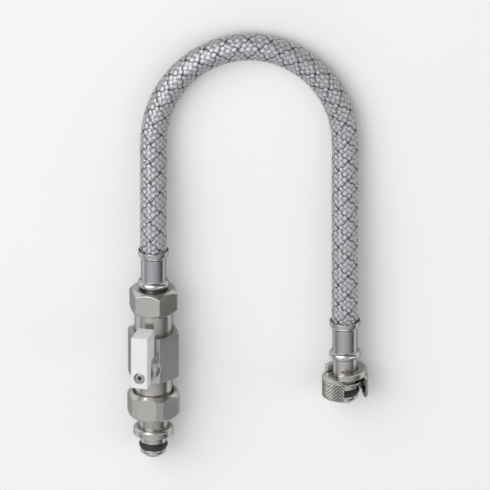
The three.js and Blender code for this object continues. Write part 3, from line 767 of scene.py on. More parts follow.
@dataclass(frozen=True)
class HexBar:
    """A hexagonal bar about Z whose ends are chamfered in a lathe; one corner lies at angle zero."""

    flats: float
    low: float
    top: float
    low_radius: float
    top_radius: float
    steepness: float
    corner_flats: float = 0.0
    corner_cut: float = 0.12
    columns_per_flat: int = 20
    edge: float = 0.25

    LOW_FACE = 1
    LOW_SIDE = 2
    TOP_SIDE = 3
    TOP_FACE = 4

    def half_corner(self) -> float:
        """Half of the size across opposite corners, cut back to a flat."""
        sharp = self.flats / 2 / math.cos(HALF_SECTOR)
        return self.corner_flats / 2 if self.corner_flats else sharp - self.corner_cut

    def corner_spread(self) -> float:
        """The angle from the middle of a corner to the edge of its flat.

        Returns:
            The angle in radians.
        """
        half = self.flats / 2
        aside = (self.half_corner() - half * math.cos(HALF_SECTOR)) / math.sin(HALF_SECTOR)
        return HALF_SECTOR - math.atan2(aside, half)

    def angles(self) -> list[float]:
        """The angles of the mesh's columns, with one on each edge of the hexagon.

        Returns:
            The angles in radians, rising from a corner at zero.
        """
        spread = self.corner_spread()
        result = []
        for side in range(HEX_SIDES):
            corner = side * SECTOR
            result.append(corner)
            for step in range(self.columns_per_flat + 1):
                result.append(corner + spread + (SECTOR - 2 * spread) * step / self.columns_per_flat)
        return result

    def radius(self, angle: float) -> float:
        """The bar's radius at an angle.

        Args:
            angle: the angle in radians.

        Returns:
            The distance from the axis to the bar's side.
        """
        from_corner = (angle + HALF_SECTOR) % SECTOR - HALF_SECTOR
        from_flat = HALF_SECTOR - abs(from_corner)
        return min(self.flats / 2 / math.cos(from_flat), self.half_corner() / math.cos(from_corner))

    def add_side(self, outline: Outline) -> Outline:
        """Adds the bar's side to an outline, from its lower face to its upper one, for build() to shape.

        Args:
            outline: the outline, up to the bar's lower face.

        Returns:
            The outline itself.
        """
        reach = self.flats
        outline.to(self.low_radius, self.low, tag=self.LOW_FACE)
        outline.to(reach, self.low + SPARE, tag=self.LOW_SIDE)
        outline.to(reach, self.top - SPARE, tag=self.TOP_SIDE)
        return outline.to(self.top_radius, self.top, tag=self.TOP_FACE)

    def build(self, outline: Outline) -> bmesh.types.BMesh:
        """Turns an outline that holds the bar's side, and gives that side its six flats.

        Args:
            outline: the closed outline.

        Returns:
            The mesh in millimetres.
        """
        angles = self.angles()
        bm = turn(outline, len(angles))
        ring = bm.verts.layers.int["ring"]
        for vert in bm.verts:
            column = round(math.atan2(vert.co.y, vert.co.x) / math.tau * len(angles)) % len(angles)
            angle = angles[column]
            radius, level = math.hypot(vert.co.x, vert.co.y), vert.co.z
            side = self.radius(angle)
            if vert[ring] in (self.LOW_FACE, self.TOP_FACE):
                radius = min(radius, side)
            elif vert[ring] == self.LOW_SIDE:
                radius, level = side, self.low + self.steepness * max(0.0, side - self.low_radius)
            elif vert[ring] == self.TOP_SIDE:
                radius, level = side, self.top - self.steepness * max(0.0, side - self.top_radius)
            vert.co = (radius * math.cos(angle), radius * math.sin(angle), level)
        bmesh.ops.remove_doubles(bm, verts=bm.verts[:], dist=HEX_SEAM)
        bmesh.ops.dissolve_degenerate(bm, edges=bm.edges[:], dist=SEAM)
        bmesh.ops.recalc_face_normals(bm, faces=bm.faces[:])
        return bm

    def dress(self, bench: Bench, outline: Outline, leg: Axis, name: str, node: str) -> bpy.types.Object:
        """Builds the piece of an outline that holds the bar's side.

        Args:
            bench: where the piece is finished.
            outline: the closed outline.
            leg: the axis of the valve's end.
            name: the piece's name.
            node: the solid that it stands for.

        Returns:
            The piece.
        """
        bm, placing = self.build(outline), leg.placing(HEX_TURN)
        return bench.settle(bm, name, placing, Body.HOSE, Slot.NICKEL, [node], bevel=self.edge)


@dataclass
class Plug:
    """The plug that both ends finish in, with its rubber seal."""

    tip: float
    tip_radius: float = 4.0
    nose_radius: float = 7.15
    nose_length: float = 4.6
    nose_rounding: float = 1.8
    chamfer: float = 2.2
    neck_radius: float = 7.2
    bore: float = 3.0
    edge: float = 0.3
    seal_length: float = 3.9
    seal_radius: float = 7.95
    seal_play: float = 0.12
    seal_inset: float = 0.1
    seal_shoulder: float = 0.35
    seal_fullness: float = 0.7  # below 1, the bulge is fuller than a half wave
    seal_steps: int = 12
    groove_radius: float = 5.5
    groove_edge: float = 0.1

    def begin(self) -> Outline:
        """The plug's outline from its bore round its nose to the top of the seal's groove.

        Returns:
            The open outline, for the corners of the piece that the plug ends.
        """
        groove, edge = self.tip + self.nose_length, self.edge
        top = groove + self.seal_length
        return Outline().through(
            (self.bore, self.tip, edge),
            (self.tip_radius, self.tip, edge),
            (self.nose_radius, self.tip + self.chamfer, self.nose_rounding),
            (self.nose_radius, groove, edge),
            (self.groove_radius, groove, self.groove_edge),
            (self.groove_radius, top, self.groove_edge),
            (self.neck_radius, top, edge),
        )

    def seal(self, bench: Bench, axis: Axis, name: str, node: str, leg: str) -> bpy.types.Object:
        """Builds the seal, a rounded rubber ring that bulges out of its groove.

        Args:
            bench: where the piece is finished.
            axis: the end's axis.
            name: the piece's name.
            node: the solid that it stands for.
            leg: the end of the hose that it sits on.

        Returns:
            The piece.
        """
        low = self.tip + self.nose_length + self.seal_play
        top = low + self.seal_length - 2 * self.seal_play
        inner = self.groove_radius + self.seal_inset
        shoulder = self.neck_radius - self.seal_shoulder
        outline = Outline().through((inner, low, 0.3), (shoulder, low, 0.2))
        for step in range(1, self.seal_steps):
            t = step / self.seal_steps
            bulge = (self.seal_radius - shoulder) * math.sin(math.pi * t) ** self.seal_fullness
            outline.to(shoulder + bulge, low + (top - low) * t)
        outline.through((shoulder, top, 0.2), (inner, top, 0.3))
        return bench.settle_turning(outline, name, axis, node, leg, Slot.RUBBER)


@dataclass
class Ferrule:
    """A crimped sleeve: rolled bead, pressed-in body and flared mouth."""

    level: float
    bead_length: float = 3.7
    crimp_length: float = 14.2
    mouth_length: float = 4.0
    bead_radius: float = 8.7
    body_radius: float = 6.95
    mouth_radius: float = 8.5
    wall: float = 0.6
    hole: float = 7.0

    def dress(self, bench: Bench, axis: Axis, node: str, leg: str) -> bpy.types.Object:
        """Builds the sleeve.

        Args:
            bench: where the piece is finished.
            axis: the end's axis.
            node: the solid that it stands for.
            leg: the end of the hose that it sits on.

        Returns:
            The piece.
        """
        bead_top = self.level + self.bead_length
        mouth = bead_top + self.crimp_length
        top = mouth + self.mouth_length
        bead, body, rim = self.bead_radius, self.body_radius, self.mouth_radius
        # Outside the bead, the crimped body and the flare, and then back down inside the wall
        outline = Outline().through(
            (self.hole, self.level, 0.25), (bead - 0.9, self.level, 0.8), (bead, self.level + 1.1, 1.2),
            (bead, bead_top - 1.2, 1.1), (bead - 0.7, bead_top - 0.1, 0.35), (body, bead_top + 0.25, 0.4),
            (body, mouth - 0.2, 0.5), (rim - 0.5, mouth + 0.3, 0.5), (rim, mouth + 1.5, 0.9),
            (rim, top, 0.28), (rim - self.wall, top, 0.28), (rim - self.wall, mouth + 0.9, 0.8),
            (body - self.wall, mouth - 0.3, 0.4), (body - self.wall, bead_top, 0.3),
            (self.hole, bead_top - 0.4, 0.3),
        )
        name = f"{node}_sleeve"
        return bench.settle_turning(outline, name, axis, node, leg, Slot.STAINLESS, FINE_TURN_STEPS)


@dataclass
class Strand:
    """The cross-section of one strand: places across its width and above its middle, as shares."""

    width: float = 2.36
    thickness: float = 0.26
    across: tuple[float, ...] = (-1.0, -0.86, -0.4, 0.4, 0.86, 1.0, 0.86, -0.86, -1.0)
    above: tuple[float, ...] = (-0.2, 0.7, 1.0, 1.0, 0.7, -0.2, -1.0, -1.0, -0.2)


class Family(Enum):
    """The two sets of strands, by the way in which they wind."""

    RIGHT = 1
    LEFT = -1


@dataclass
class Hose:
    """The braided hose: a rubber liner and twenty-four flat strands woven over and under each other."""

    middle: Vector
    diameter: float = 14.8
    strands: int = 12  # in each family
    wave: float = 0.14  # how far a strand swings in and out
    liner_gap: float = 0.05
    liner_rows: int = 180
    liner_columns: int = 33
    group_gap: float = 0.075  # how far the outer two of three strands lean in, as a share of their spacing
    # the painted shade on the edges beside a wide gap reaches further by this factor
    gap_shade: float = 1.3  # how much further the edges beside a wide gap reach into the dark
    dwell: float = 1.7  # above 1, a strand lies level for longer between its crossings
    samples_per_knot: int = 16
    samples_per_crossing: int = 4
    cord_points: int = 120
    strand: Strand = field(default_factory=Strand)
    # Across from the middle of the two ends, along from the spigot's tip and up from the floor
    route: tuple[Place, ...] = (
        (-52.675, 119.7, 14.47), (-52.675, 126, 14.47), (-52.675, 134, 14.4), (-52.675, 144, 13.9),
        (-52.675, 155, 12.92), (-52.675, 166, 11.66), (-52.675, 176, 10.4), (-52.675, 185, 9.3),
        (-50.9, 199.4, 8.1), (-45.64, 213.05, 7.55), (-37.26, 225.05, 7.5), (-26.34, 234.15, 7.5),
        (-13.63, 239.95, 7.5), (0, 241.9, 7.5), (13.63, 239.95, 7.5), (26.34, 234.15, 7.5),
        (37.26, 225.05, 7.5), (45.64, 213.05, 7.5), (50.9, 199.2, 7.6), (52.675, 184.5, 8),
        (52.675, 172, 8.8), (52.675, 158, 9.9), (52.675, 144, 11), (52.675, 130, 11.9), (52.675, 116, 12.5),
        (52.675, 102, 12.74), (52.675, 89, 12.76), (52.675, 76.6, 12.76),
    )

    def centre_line(self) -> tuple[np.ndarray, np.ndarray]:
        """Samples a smooth curve through the route.

        Returns:
            The distance of each sample along the curve, and the samples, both in millimetres.
        """
        knots = np.array(self.route)
        knots = np.vstack([2 * knots[0] - knots[1], knots, 2 * knots[-1] - knots[-2]])
        spans = np.sqrt(np.linalg.norm(np.diff(knots, axis=0), axis=1))
        pieces = []
        for i in range(1, len(knots) - 2):
            before, span, after = spans[i - 1 : i + 2]
            start = (knots[i] - knots[i - 1]) / before - (knots[i + 1] - knots[i - 1]) / (before + span)
            start = (start + (knots[i + 1] - knots[i]) / span) * span
            end = (knots[i + 1] - knots[i]) / span - (knots[i + 2] - knots[i]) / (span + after)
            end = (end + (knots[i + 2] - knots[i + 1]) / after) * span
            t = np.linspace(0, 1, self.samples_per_knot, endpoint=False)[:, None]
            chord = knots[i] - knots[i + 1]
            curve = knots[i] + start * t + (-3 * chord - 2 * start - end) * t**2
            pieces.append(curve + (2 * chord + start + end) * t**3)
        points = np.vstack([*pieces, knots[-2][None]])
        steps = np.linalg.norm(np.diff(points, axis=0), axis=1)
        return np.concatenate([[0.0], np.cumsum(steps)]), points

    def surface(self, along: np.ndarray, angle: np.ndarray, radius: np.ndarray) -> np.ndarray:
        """Places on and round the hose.

        Args:
            along: distances along the centre line, in millimetres.
            angle: angles round it, from straight up.
            radius: distances from it, in millimetres.

        Returns:
            The places in metres, in the frame.
        """
        distance, points = self.centre_line()
        place = np.stack([np.interp(along, distance, points[:, k]) for k in range(3)], axis=-1)
        tangents = np.gradient(points, distance, axis=0)
        tangent = np.stack([np.interp(along, distance, tangents[:, k]) for k in range(3)], axis=-1)
        tangent /= np.linalg.norm(tangent, axis=-1, keepdims=True)
        side = np.cross(tangent, np.array([0.0, 0.0, 1.0]))
        side /= np.linalg.norm(side, axis=-1, keepdims=True)
        up = np.cross(side, tangent)
        out = up * np.cos(angle)[..., None] + side * np.sin(angle)[..., None]
        return (place + out * radius[..., None]) * MM + np.array(self.middle)

    def sleeve(self, places: np.ndarray, marks: dict[str, np.ndarray]) -> bmesh.types.BMesh:
        """Bends flat grids into tubes.

        Args:
            places: the vertices in metres, by tube, row and column; the last column lies on the first.
            marks: the values of each attribute, in the same order.

        Returns:
            The closed mesh, in metres.
        """
        copies, rows, columns = places.shape[:3]
        flat = bmesh.new()
        bmesh.ops.create_grid(flat, x_segments=rows - 1, y_segments=columns - 1, size=1.0)
        sheet = bpy.data.meshes.new("grid")
        flat.to_mesh(sheet)
        flat.free()
        bm = bmesh.new()
        layers = {name: bm.verts.layers.float.new(name) for name in marks}
        for _ in range(copies):
            bm.from_mesh(sheet)
        bpy.data.meshes.remove(sheet)
        each = rows * columns
        for i, vert in enumerate(bm.verts):
            row = round((vert.co.x + 1) / 2 * (rows - 1))
            column = round((vert.co.y + 1) / 2 * (columns - 1))
            vert.co = places[i // each, row, column]
            for name, layer in layers.items():
                vert[layer] = marks[name][i // each, row, column]
        bmesh.ops.remove_doubles(bm, verts=bm.verts[:], dist=TUBE_SEAM)
        ends = [edge for edge in bm.edges if edge.is_boundary]
        bmesh.ops.holes_fill(bm, edges=ends, sides=columns + 2)
        bmesh.ops.recalc_face_normals(bm, faces=bm.faces[:])
        return bm

    def liner(self, bench: Bench) -> bpy.types.Object:
        """Builds the rubber tube under the braid.

        Args:
            bench: where the piece is finished.

        Returns:
            The piece.
        """
        distance, _ = self.centre_line()
        rows, columns = self.liner_rows, self.liner_columns
        along = np.linspace(0, distance[-1], rows)[:, None] * np.ones(columns)
        angle = np.linspace(0, math.tau, columns) * np.ones((rows, 1))
        radius = np.full((rows, columns), self.liner_radius())
        bm = self.sleeve(self.surface(along, angle, radius)[None], {})
        nodes = ["hose_liner", "hose_braid"]
        return bench.settle(bm, "hose_liner_tube", Matrix.Identity(4), Body.HOSE, Slot.RUBBER, nodes)

    def liner_radius(self) -> float:
        """The liner's outer radius: what the strands leave free."""
        return self.diameter / 2 - 2 * self.wave - self.strand.thickness - self.liner_gap

    def weave(self, bench: Bench, family: Family) -> bpy.types.Object:
        """Builds one family of strands, each passing over and under those of the other.

        Args:
            bench: where the piece is finished.
            family: which way the strands wind.

        Returns:
            The piece.
        """
        distance, _ = self.centre_line()
        mean = self.diameter / 2 - self.wave - self.strand.thickness / 2
        step = math.pi * mean / self.strands / self.samples_per_crossing
        overrun = 2 * self.samples_per_crossing
        rows = int(distance[-1] / step) + 2 * overrun
        reach = (np.arange(rows) - overrun + 0.5) * step
        wide = np.array(self.strand.across) * self.strand.width / 2
        lift = np.array(self.strand.above) * self.strand.thickness / 2
        slope = math.sqrt(0.5)  # a strand lies at 45 degrees to the hose
        places, edges, lifts = [], [], []
        for index in range(self.strands):
            # Every third gap is wider, with deeper painted shade on the edges beside it, so that the strands
            # read as groups of three
            outer = index % 3 - 1
            start = (index - outer * self.group_gap) * math.tau / self.strands
            along = reach[:, None] - family.value * wide * slope
            angle = start + (family.value * reach[:, None] + wide * slope) / mean
            crossing = (start + 2 * family.value * reach / mean) * self.strands / math.tau - index
            swing = np.clip(self.dwell * np.cos(math.pi * crossing), -1, 1) * family.value
            radius = mean + self.wave * swing[:, None] + lift
            places.append(self.surface(np.clip(along, 0, distance[-1]), angle, radius))
            edge = np.array(self.strand.across)
            shaded = np.where(edge * outer > 0, edge * self.gap_shade, edge)
            edges.append(np.broadcast_to(shaded, angle.shape))
            lifts.append(np.broadcast_to(swing[:, None], angle.shape))
        bm = self.sleeve(np.array(places), {"across": np.array(edges), "lift": np.array(lifts)})
        name = f"braid_{family.name.lower()}_strands"
        return bench.settle(bm, name, Matrix.Identity(4), Body.HOSE, Slot.BRAID, ["hose_braid"])

    def dress(self, bench: Bench) -> None:
        """Args:
            bench: where the pieces are finished.
        """
        tube = self.liner(bench)
        braid = [self.weave(bench, family) for family in Family]
        distance, _ = self.centre_line()
        rows = np.linspace(0, distance[-1], self.cord_points)
        path = self.surface(rows, np.zeros(self.cord_points), np.zeros(self.cord_points))


@dataclass
class Valve:
    """The ball valve: body with necks and stem boss, block lever and its screw."""

    flats: float = 25.4
    level: float = 48.4
    length: float = 26.5
    face_margin: float = 1.2
    end_slope: float = 0.6
    neck_radius: float = 10.475
    neck_low: float = 31.5
    neck_top: float = 93.6
    neck_chamfer: float = 0.8
    bore: float = 4.0
    cavity: float = 8.0
    cavity_level: float = 48.0
    boss_radius: float = 7.15
    boss_height: float = 19.9
    boss_foot: float = 0.7
    boss_sink: float = 0.05
    boss_rise: float = 0.1
    boss_lip: float = 0.2
    boss_bore: float = 3.7
    boss_mouth: float = 5.2
    boss_recess: float = 0.6
    stem_top: float = 24.4
    stem_square: float = 5.2
    lever_width: float = 9.4
    lever_back: float = 20.2
    lever_top: float = 28.6
    lever_tail: float = 6.0
    lever_reach: float = 24.1
    lever_edge: float = 0.6
    grip_back: float = 13.8
    grip_gap: float = 0.6
    recess_radius: float = 3.2
    recess_steps: int = 64
    rim_depth: float = 0.35
    rim_width: float = 0.4
    rim_inset: float = 0.1
    rim_proud: float = 0.15
    screw_seat: float = 25.6
    screw_hole: float = 1.8
    hole_steps: int = 32
    screw_steps: int = 48
    screw_low: float = 19.4
    shank_radius: float = 1.5
    head_radius: float = 2.5
    head_play: float = 0.15
    head_height: float = 2.0
    key_flats: float = 2.5
    key_depth: float = 1.2

    def body(self, bench: Bench, leg: Axis, stem: Axis) -> None:
        """Builds the body from its hexagon, both necks and the boss round the stem.

        Args:
            bench: where the pieces are finished.
            leg: the axis of the valve's end.
            stem: the axis of the valve's stem.
        """
        top, face = self.level + self.length, self.flats / 2 + self.face_margin
        neck, mouth = self.neck_radius, self.neck_radius - self.neck_chamfer
        hexagon = HexBar(self.flats, self.level, top, face, face, self.end_slope)
        outline = Outline().through(
            (self.bore, self.neck_low), (mouth, self.neck_low), (neck, self.neck_low + self.neck_chamfer),
            (neck, self.level),
        )
        hexagon.add_side(outline).through(
            (neck, top), (neck, self.neck_top - self.neck_chamfer), (mouth, self.neck_top),
            (self.cavity, self.neck_top), (self.cavity, self.cavity_level), (self.bore, self.cavity_level),
        )
        hexagon.dress(bench, outline, leg, "valve_hexagon", "valve_body")
        root, lip = self.flats / 2, self.boss_height - self.boss_recess
        foot = self.boss_radius + self.boss_foot
        boss = Outline().through(
            (self.boss_bore, root - SPARE), (foot, root - SPARE), (foot, root - self.boss_sink),
            (self.boss_radius, root + self.boss_rise, 0.6), (self.boss_radius, self.boss_height, 0.5),
            (self.boss_mouth, self.boss_height, 0.2), (self.boss_mouth - self.boss_lip, lip, 0.2),
            (self.boss_bore, lip),
        )
        bench.settle_turning(boss, "valve_stem_boss", stem, "valve_body", "stem")

    def lever(self, bench: Bench, stem: Axis) -> None:
        """Builds the lever: a shallow head over the boss and a deep grip beyond it.

        Args:
            bench: where the piece is finished.
            stem: the axis of the valve's stem.
        """
        step = self.boss_radius + self.grip_gap
        side = (
            (-self.lever_tail, self.lever_back), (step, self.lever_back), (step, self.grip_back),
            (self.lever_reach, self.grip_back), (self.lever_reach, self.lever_top),
            (-self.lever_tail, self.lever_top),
        )
        block = prism(side, -self.lever_width / 2, self.lever_width / 2)
        bmesh.ops.bevel(
            block, geom=block.edges[:], offset=self.lever_edge, offset_type="OFFSET", affect="EDGES",
            segments=ROUNDING_STEPS, profile=0.5, material=-1, clamp_overlap=True,
        )
        # The side view was drawn in X and Y, and stands with its length along X and its height along Z
        block.transform(Matrix.Rotation(math.radians(90), 4, "X"))
        recess = rod(self.recess_radius, self.screw_seat, self.lever_top + 2 * SPARE, self.recess_steps)
        hole = rod(self.screw_hole, self.lever_back - SPARE, self.screw_seat + SPARE, self.hole_steps)
        square = self.stem_square
        socket = bar(square, square, square, (0, 0, self.stem_top - square / 2))
        low, proud = self.lever_top - self.rim_depth, self.lever_top + self.rim_proud
        inner, outer = self.recess_radius - self.rim_inset, self.recess_radius + self.rim_width
        rim = turn(Outline().through((0, low), (inner, low), (outer, proud), (0, proud)), self.recess_steps)
        carved = carve(block, recess, rim, hole, socket)
        bench.settle(carved, "lever_block", stem.placing(), Body.HANDLE, Slot.LEVER, ["lever"], "stem")

    def screw(self, bench: Bench, stem: Axis) -> None:
        """Builds the screw in the lever's recess, with its hexagonal key socket.

        Args:
            bench: where the piece is finished.
            stem: the axis of the valve's stem.
        """
        low, top = self.screw_seat + self.head_play, self.screw_seat + self.head_height
        outline = Outline().through(
            (0, self.screw_low), (self.shank_radius, self.screw_low, 0.2), (self.shank_radius, low),
            (self.head_radius, low, 0.1), (self.head_radius, top, 0.4), (0, top),
        )
        key = prism(polygon(HEX_SIDES, self.key_flats), top - self.key_depth, top + SPARE)
        carved = carve(turn(outline, self.screw_steps), key)
        name, placing = "lever_screw_head", stem.placing()
        bench.settle(carved, name, placing, Body.HANDLE, Slot.STAINLESS, ["lever_screw"], "stem")

    def dress(self, bench: Bench, leg: Axis, stem: Axis) -> None:
        """Builds the whole valve.

        Args:
            bench: where the pieces are finished.
            leg: the axis of the valve's end.
            stem: the axis of the valve's stem.
        """
        self.body(bench, leg, stem)
        self.lever(bench, stem)
        self.screw(bench, stem)


@dataclass
class ValveEnd:
    """What joins the valve to the spigot and to the hose."""

    thread_bore: float = 10.7
    nut_floor: float = 2.5
    lower_nut: HexBar = HexBar(
        flats=27.0, low=24.9, top=39.0, low_radius=13.1, top_radius=12.6, steepness=1.2, corner_flats=28.8
    )
    lower_hole: float = 8.5  # round the spigot
    lower_mouth: float = 11.4
    lower_mouth_depth: float = 0.7
    upper_nut: HexBar = HexBar(
        flats=24.0, low=86.8, top=100.5, low_radius=11.6, top_radius=11.1, steepness=0.9
    )
    upper_hole: float = 7.05  # round the hose's insert
    upper_mouth: float = 7.6
    upper_chamfer: float = 0.5
    ferrule_level: float = 101.4
    # Radius and level of each corner, and its rounding: up the outside and down the bore
    spigot_corners: Corners = (
        (7.2, 13.1, 0.25), (11.1, 13.1, 0.5), (11.1, 16.5, 0.3), (10.1, 17.6, 0.3), (8.2, 17.6, 0.4),
        (8.2, 27.7, 0.2), (9.97, 27.7), (9.97, 29.4), (4.0, 29.4), (4.0, 18.6), (3.0, 17.6),
    )
    insert_corners: Corners = (
        (3.5, 95.7), (9.97, 95.7), (9.97, 97.7), (6.7, 97.7, 0.2), (6.7, 104.2, 0.2), (4.5, 104.2),
        (4.5, 118.4, 0.3), (3.5, 118.4),
    )

    def spigot(self, bench: Bench, leg: Axis) -> None:
        """Builds the spigot with its flange and plug, and the plug's seal.

        Args:
            bench: where the pieces are finished.
            leg: the axis of this end of the hose.
        """
        plug = Plug(tip=0.0)
        outline = plug.begin().through(*self.spigot_corners)
        bench.settle_turning(outline, "spigot_turning", leg, "spigot", "valve", steps=FINE_TURN_STEPS)
        plug.seal(bench, leg, "spigot_seal", "spigot_seal_ring", "valve")

    def spigot_nut(self, bench: Bench, leg: Axis) -> None:
        """Builds the lower nut, whose six corners are cut back to narrow flats.

        Args:
            bench: where the piece is finished.
            leg: the axis of this end of the hose.
        """
        nut = self.lower_nut
        floor, depth = nut.low + self.nut_floor, self.lower_mouth_depth
        outline = nut.add_side(Outline().to(self.lower_hole, nut.low, 0.2)).through(
            (self.lower_mouth, nut.top, 0.1), (self.thread_bore, nut.top - depth, 0.1),
            (self.thread_bore, floor), (self.lower_hole, floor),
        )
        nut.dress(bench, outline, leg, "spigot_nut_hexagon", "spigot_nut")

    def union_nut(self, bench: Bench, leg: Axis) -> None:
        """Builds the upper nut, open towards the valve and closed round the hose's insert.

        Args:
            bench: where the piece is finished.
            leg: the axis of this end of the hose.
        """
        nut = self.upper_nut
        floor, chamfer = nut.top - self.nut_floor, self.upper_chamfer
        outline = nut.add_side(Outline().to(self.thread_bore + chamfer, nut.low, 0.1)).through(
            (self.upper_mouth, nut.top, 0.1), (self.upper_hole, nut.top - chamfer, 0.1),
            (self.upper_hole, floor), (self.thread_bore, floor), (self.thread_bore, nut.low + chamfer, 0.1),
        )
        nut.dress(bench, outline, leg, "union_nut_hexagon", "union_nut")

    def dress(self, bench: Bench, leg: Axis) -> None:
        """Builds the valve end's turned and hexagonal pieces.

        Args:
            bench: where the pieces are finished.
            leg: the axis of this end of the hose.
        """
        self.spigot(bench, leg)
        self.spigot_nut(bench, leg)
        self.union_nut(bench, leg)
        insert = Outline().through(*self.insert_corners)
        bench.settle_turning(insert, "hose_insert_turning", leg, "hose_insert", "valve")
        Ferrule(self.ferrule_level).dress(bench, leg, "valve_end_ferrule", "valve")


@dataclass
class KnurledNut:
    """The union nut with a knurled wall, open on one side so that it slips over the tail."""

    low: float = 35.45
    top: float = 47.35
    floor: float = 44.85
    radius: float = 12.75
    top_radius: float = 10.9
    edge: float = 1.2
    foot_edge: float = 0.3
    slot_half: float = 7.0
    thread_radius: float = 10.1
    thread_lead: float = 0.9
    thread_root: float = 0.1
    thread_start: float = 1.0
    thread_turns: int = 4
    thread_steps: int = 64
    crest_radius: float = 9.55
    root_levels: Span = (0.1, 1.7)
    crest_levels: Span = (1.0, 0.8)
    pitch: float = 1.814
    knurls: int = 40
    knurl_depth: float = 0.46
    knurl_gap: float = 0.15
    groove_fullness: float = 1.25  # above 1, the grooves have a flat bottom
    rows: int = 44
    steps: int = 400
    KNURL = 9  # the tag of the rings that are knurled

    def slot_cutter(self) -> bmesh.types.BMesh:
        """The bar that is cut out of floor and wall, towards angle zero.

        Returns:
            The mesh in millimetres.
        """
        reach = self.radius + 2 * SPARE
        middle = (self.low + self.top) / 2
        return bar(reach, 2 * self.slot_half, self.top - self.low + 4 * SPARE, (reach / 2, 0, middle))

    def knurl(self, angle: float, level: float) -> float:
        """The depth of the knurling at a place on the wall, from 0 on a diamond's crest to 1 in a groove.

        Args:
            angle: the angle round the wall, in radians.
            level: the place along the axis.

        Returns:
            The depth as a share of the deepest.
        """
        round_wall = angle / math.tau * self.knurls
        climb = level / (math.tau * self.radius / self.knurls)
        crest = min(abs((round_wall + climb) % 1 - 0.5), abs((round_wall - climb) % 1 - 0.5)) * 2
        return 1 - min(1.0, crest * self.groove_fullness)

    def wall(self) -> bmesh.types.BMesh:
        """Builds the nut's body with diamonds pressed into its wall.

        Returns:
            The mesh in millimetres, still without its slot.
        """
        shoulder = self.top - self.edge
        knurl_low, knurl_top = self.low + self.foot_edge, shoulder - self.knurl_gap
        outline = Outline().to(self.thread_radius + self.thread_lead, self.low, 0.15)
        outline.to(self.radius - self.foot_edge, self.low, 0.1)
        for row in range(self.rows + 1):
            outline.to(self.radius, knurl_low + (knurl_top - knurl_low) * row / self.rows, tag=self.KNURL)
        outline.through(
            (self.radius, shoulder, 0.1), (self.top_radius, self.top, 0.3), (self.slot_half, self.top, 0.2),
            (self.slot_half, self.floor), (self.thread_radius, self.floor),
            (self.thread_radius, self.low + self.thread_lead, 0.15),
        )
        bm = turn(outline, self.steps)
        pressed = bm.verts.layers.float.new("pressed")
        ring = bm.verts.layers.int["ring"]
        for vert in bm.verts:
            if vert[ring] == self.KNURL:
                angle = math.atan2(vert.co.y, vert.co.x)
                vert[pressed] = self.knurl(angle, vert.co.z)
                radius = self.radius - self.knurl_depth * vert[pressed]
                vert.co.x, vert.co.y = radius * math.cos(angle), radius * math.sin(angle)
        return bm

    def thread(self) -> bmesh.types.BMesh:
        """Builds the female thread as a ridge that winds up the nut's bore.

        Returns:
            The mesh in millimetres, still without the slot.
        """
        root, start = self.thread_radius + self.thread_root, self.low + self.thread_start
        corners = [(root, level) for level in self.root_levels]
        corners += [(self.crest_radius, level) for level in self.crest_levels]
        bm = bmesh.new()
        face = bm.faces.new([bm.verts.new((radius, 0.0, start + level)) for radius, level in corners])
        bmesh.ops.spin(
            bm, geom=[face, *face.edges, *face.verts], cent=(0, 0, 0), axis=(0, 0, 1),
            dvec=(0, 0, self.pitch / self.thread_steps), angle=math.tau * self.thread_turns,
            steps=self.thread_steps * self.thread_turns, use_merge=False, use_duplicate=False,
        )
        bmesh.ops.recalc_face_normals(bm, faces=bm.faces[:])
        return bm

    def dress(self, bench: Bench, leg: Axis) -> None:
        """Builds the nut and the thread inside it.

        Args:
            bench: where the pieces are finished.
            leg: the axis of this end of the hose.
        """
        placing = leg.placing(KNURLED_SLOT_TURN)
        for name, whole in (("knurled_nut_wall", self.wall()), ("knurled_nut_thread", self.thread())):
            bm = carve(whole, self.slot_cutter())
            bench.settle(bm, name, placing, Body.NUT, Slot.NICKEL, ["knurled_nut"], "free")


@dataclass
class SlottedCollar:
    """The thick slotted disc that keeps the knurled nut on the tail."""

    low: float = 47.65
    thickness: float = 3.7
    radius: float = 11.9
    slot_half: float = 7.0
    jaw_radius: float = 1.3
    edge: float = 0.55
    jaw_steps: int = 8
    rim_steps: int = 80
    slot_steps: int = 40

    def corners(self) -> list[tuple[float, float]]:
        """The disc's outline with its slot open towards angle zero and rounded jaws.

        Returns:
            The points in X and Y, counter-clockwise.
        """
        jaw = self.jaw_radius
        reach = math.sqrt((self.radius - jaw) ** 2 - (self.slot_half + jaw) ** 2)
        opening = math.atan2(self.slot_half + jaw, reach)
        points = []
        for step in range(self.jaw_steps + 1):
            angle = -math.pi / 2 + (opening + math.pi / 2) * step / self.jaw_steps
            points.append((reach + jaw * math.cos(angle), self.slot_half + jaw * (1 + math.sin(angle))))
        other_jaw = [(x, -y) for x, y in reversed(points)]
        for step in range(1, self.rim_steps):
            angle = opening + (math.tau - 2 * opening) * step / self.rim_steps
            points.append((self.radius * math.cos(angle), self.radius * math.sin(angle)))
        points.extend(other_jaw)
        for step in range(self.slot_steps + 1):
            angle = 1.5 * math.pi - math.pi * step / self.slot_steps
            points.append((self.slot_half * math.cos(angle), self.slot_half * math.sin(angle)))
        return points

    def dress(self, bench: Bench, leg: Axis) -> None:
        """Builds the disc with rounded edges.

        Args:
            bench: where the piece is finished.
            leg: the axis of this end of the hose.
        """
        bm = prism(self.corners(), self.low, self.low + self.thickness)
        bench.settle(
            bm, "slotted_collar_disc", leg.placing(COLLAR_SLOT_TURN), Body.COLLAR, Slot.NICKEL,
            ["slotted_collar"], "free", bevel=self.edge,
        )


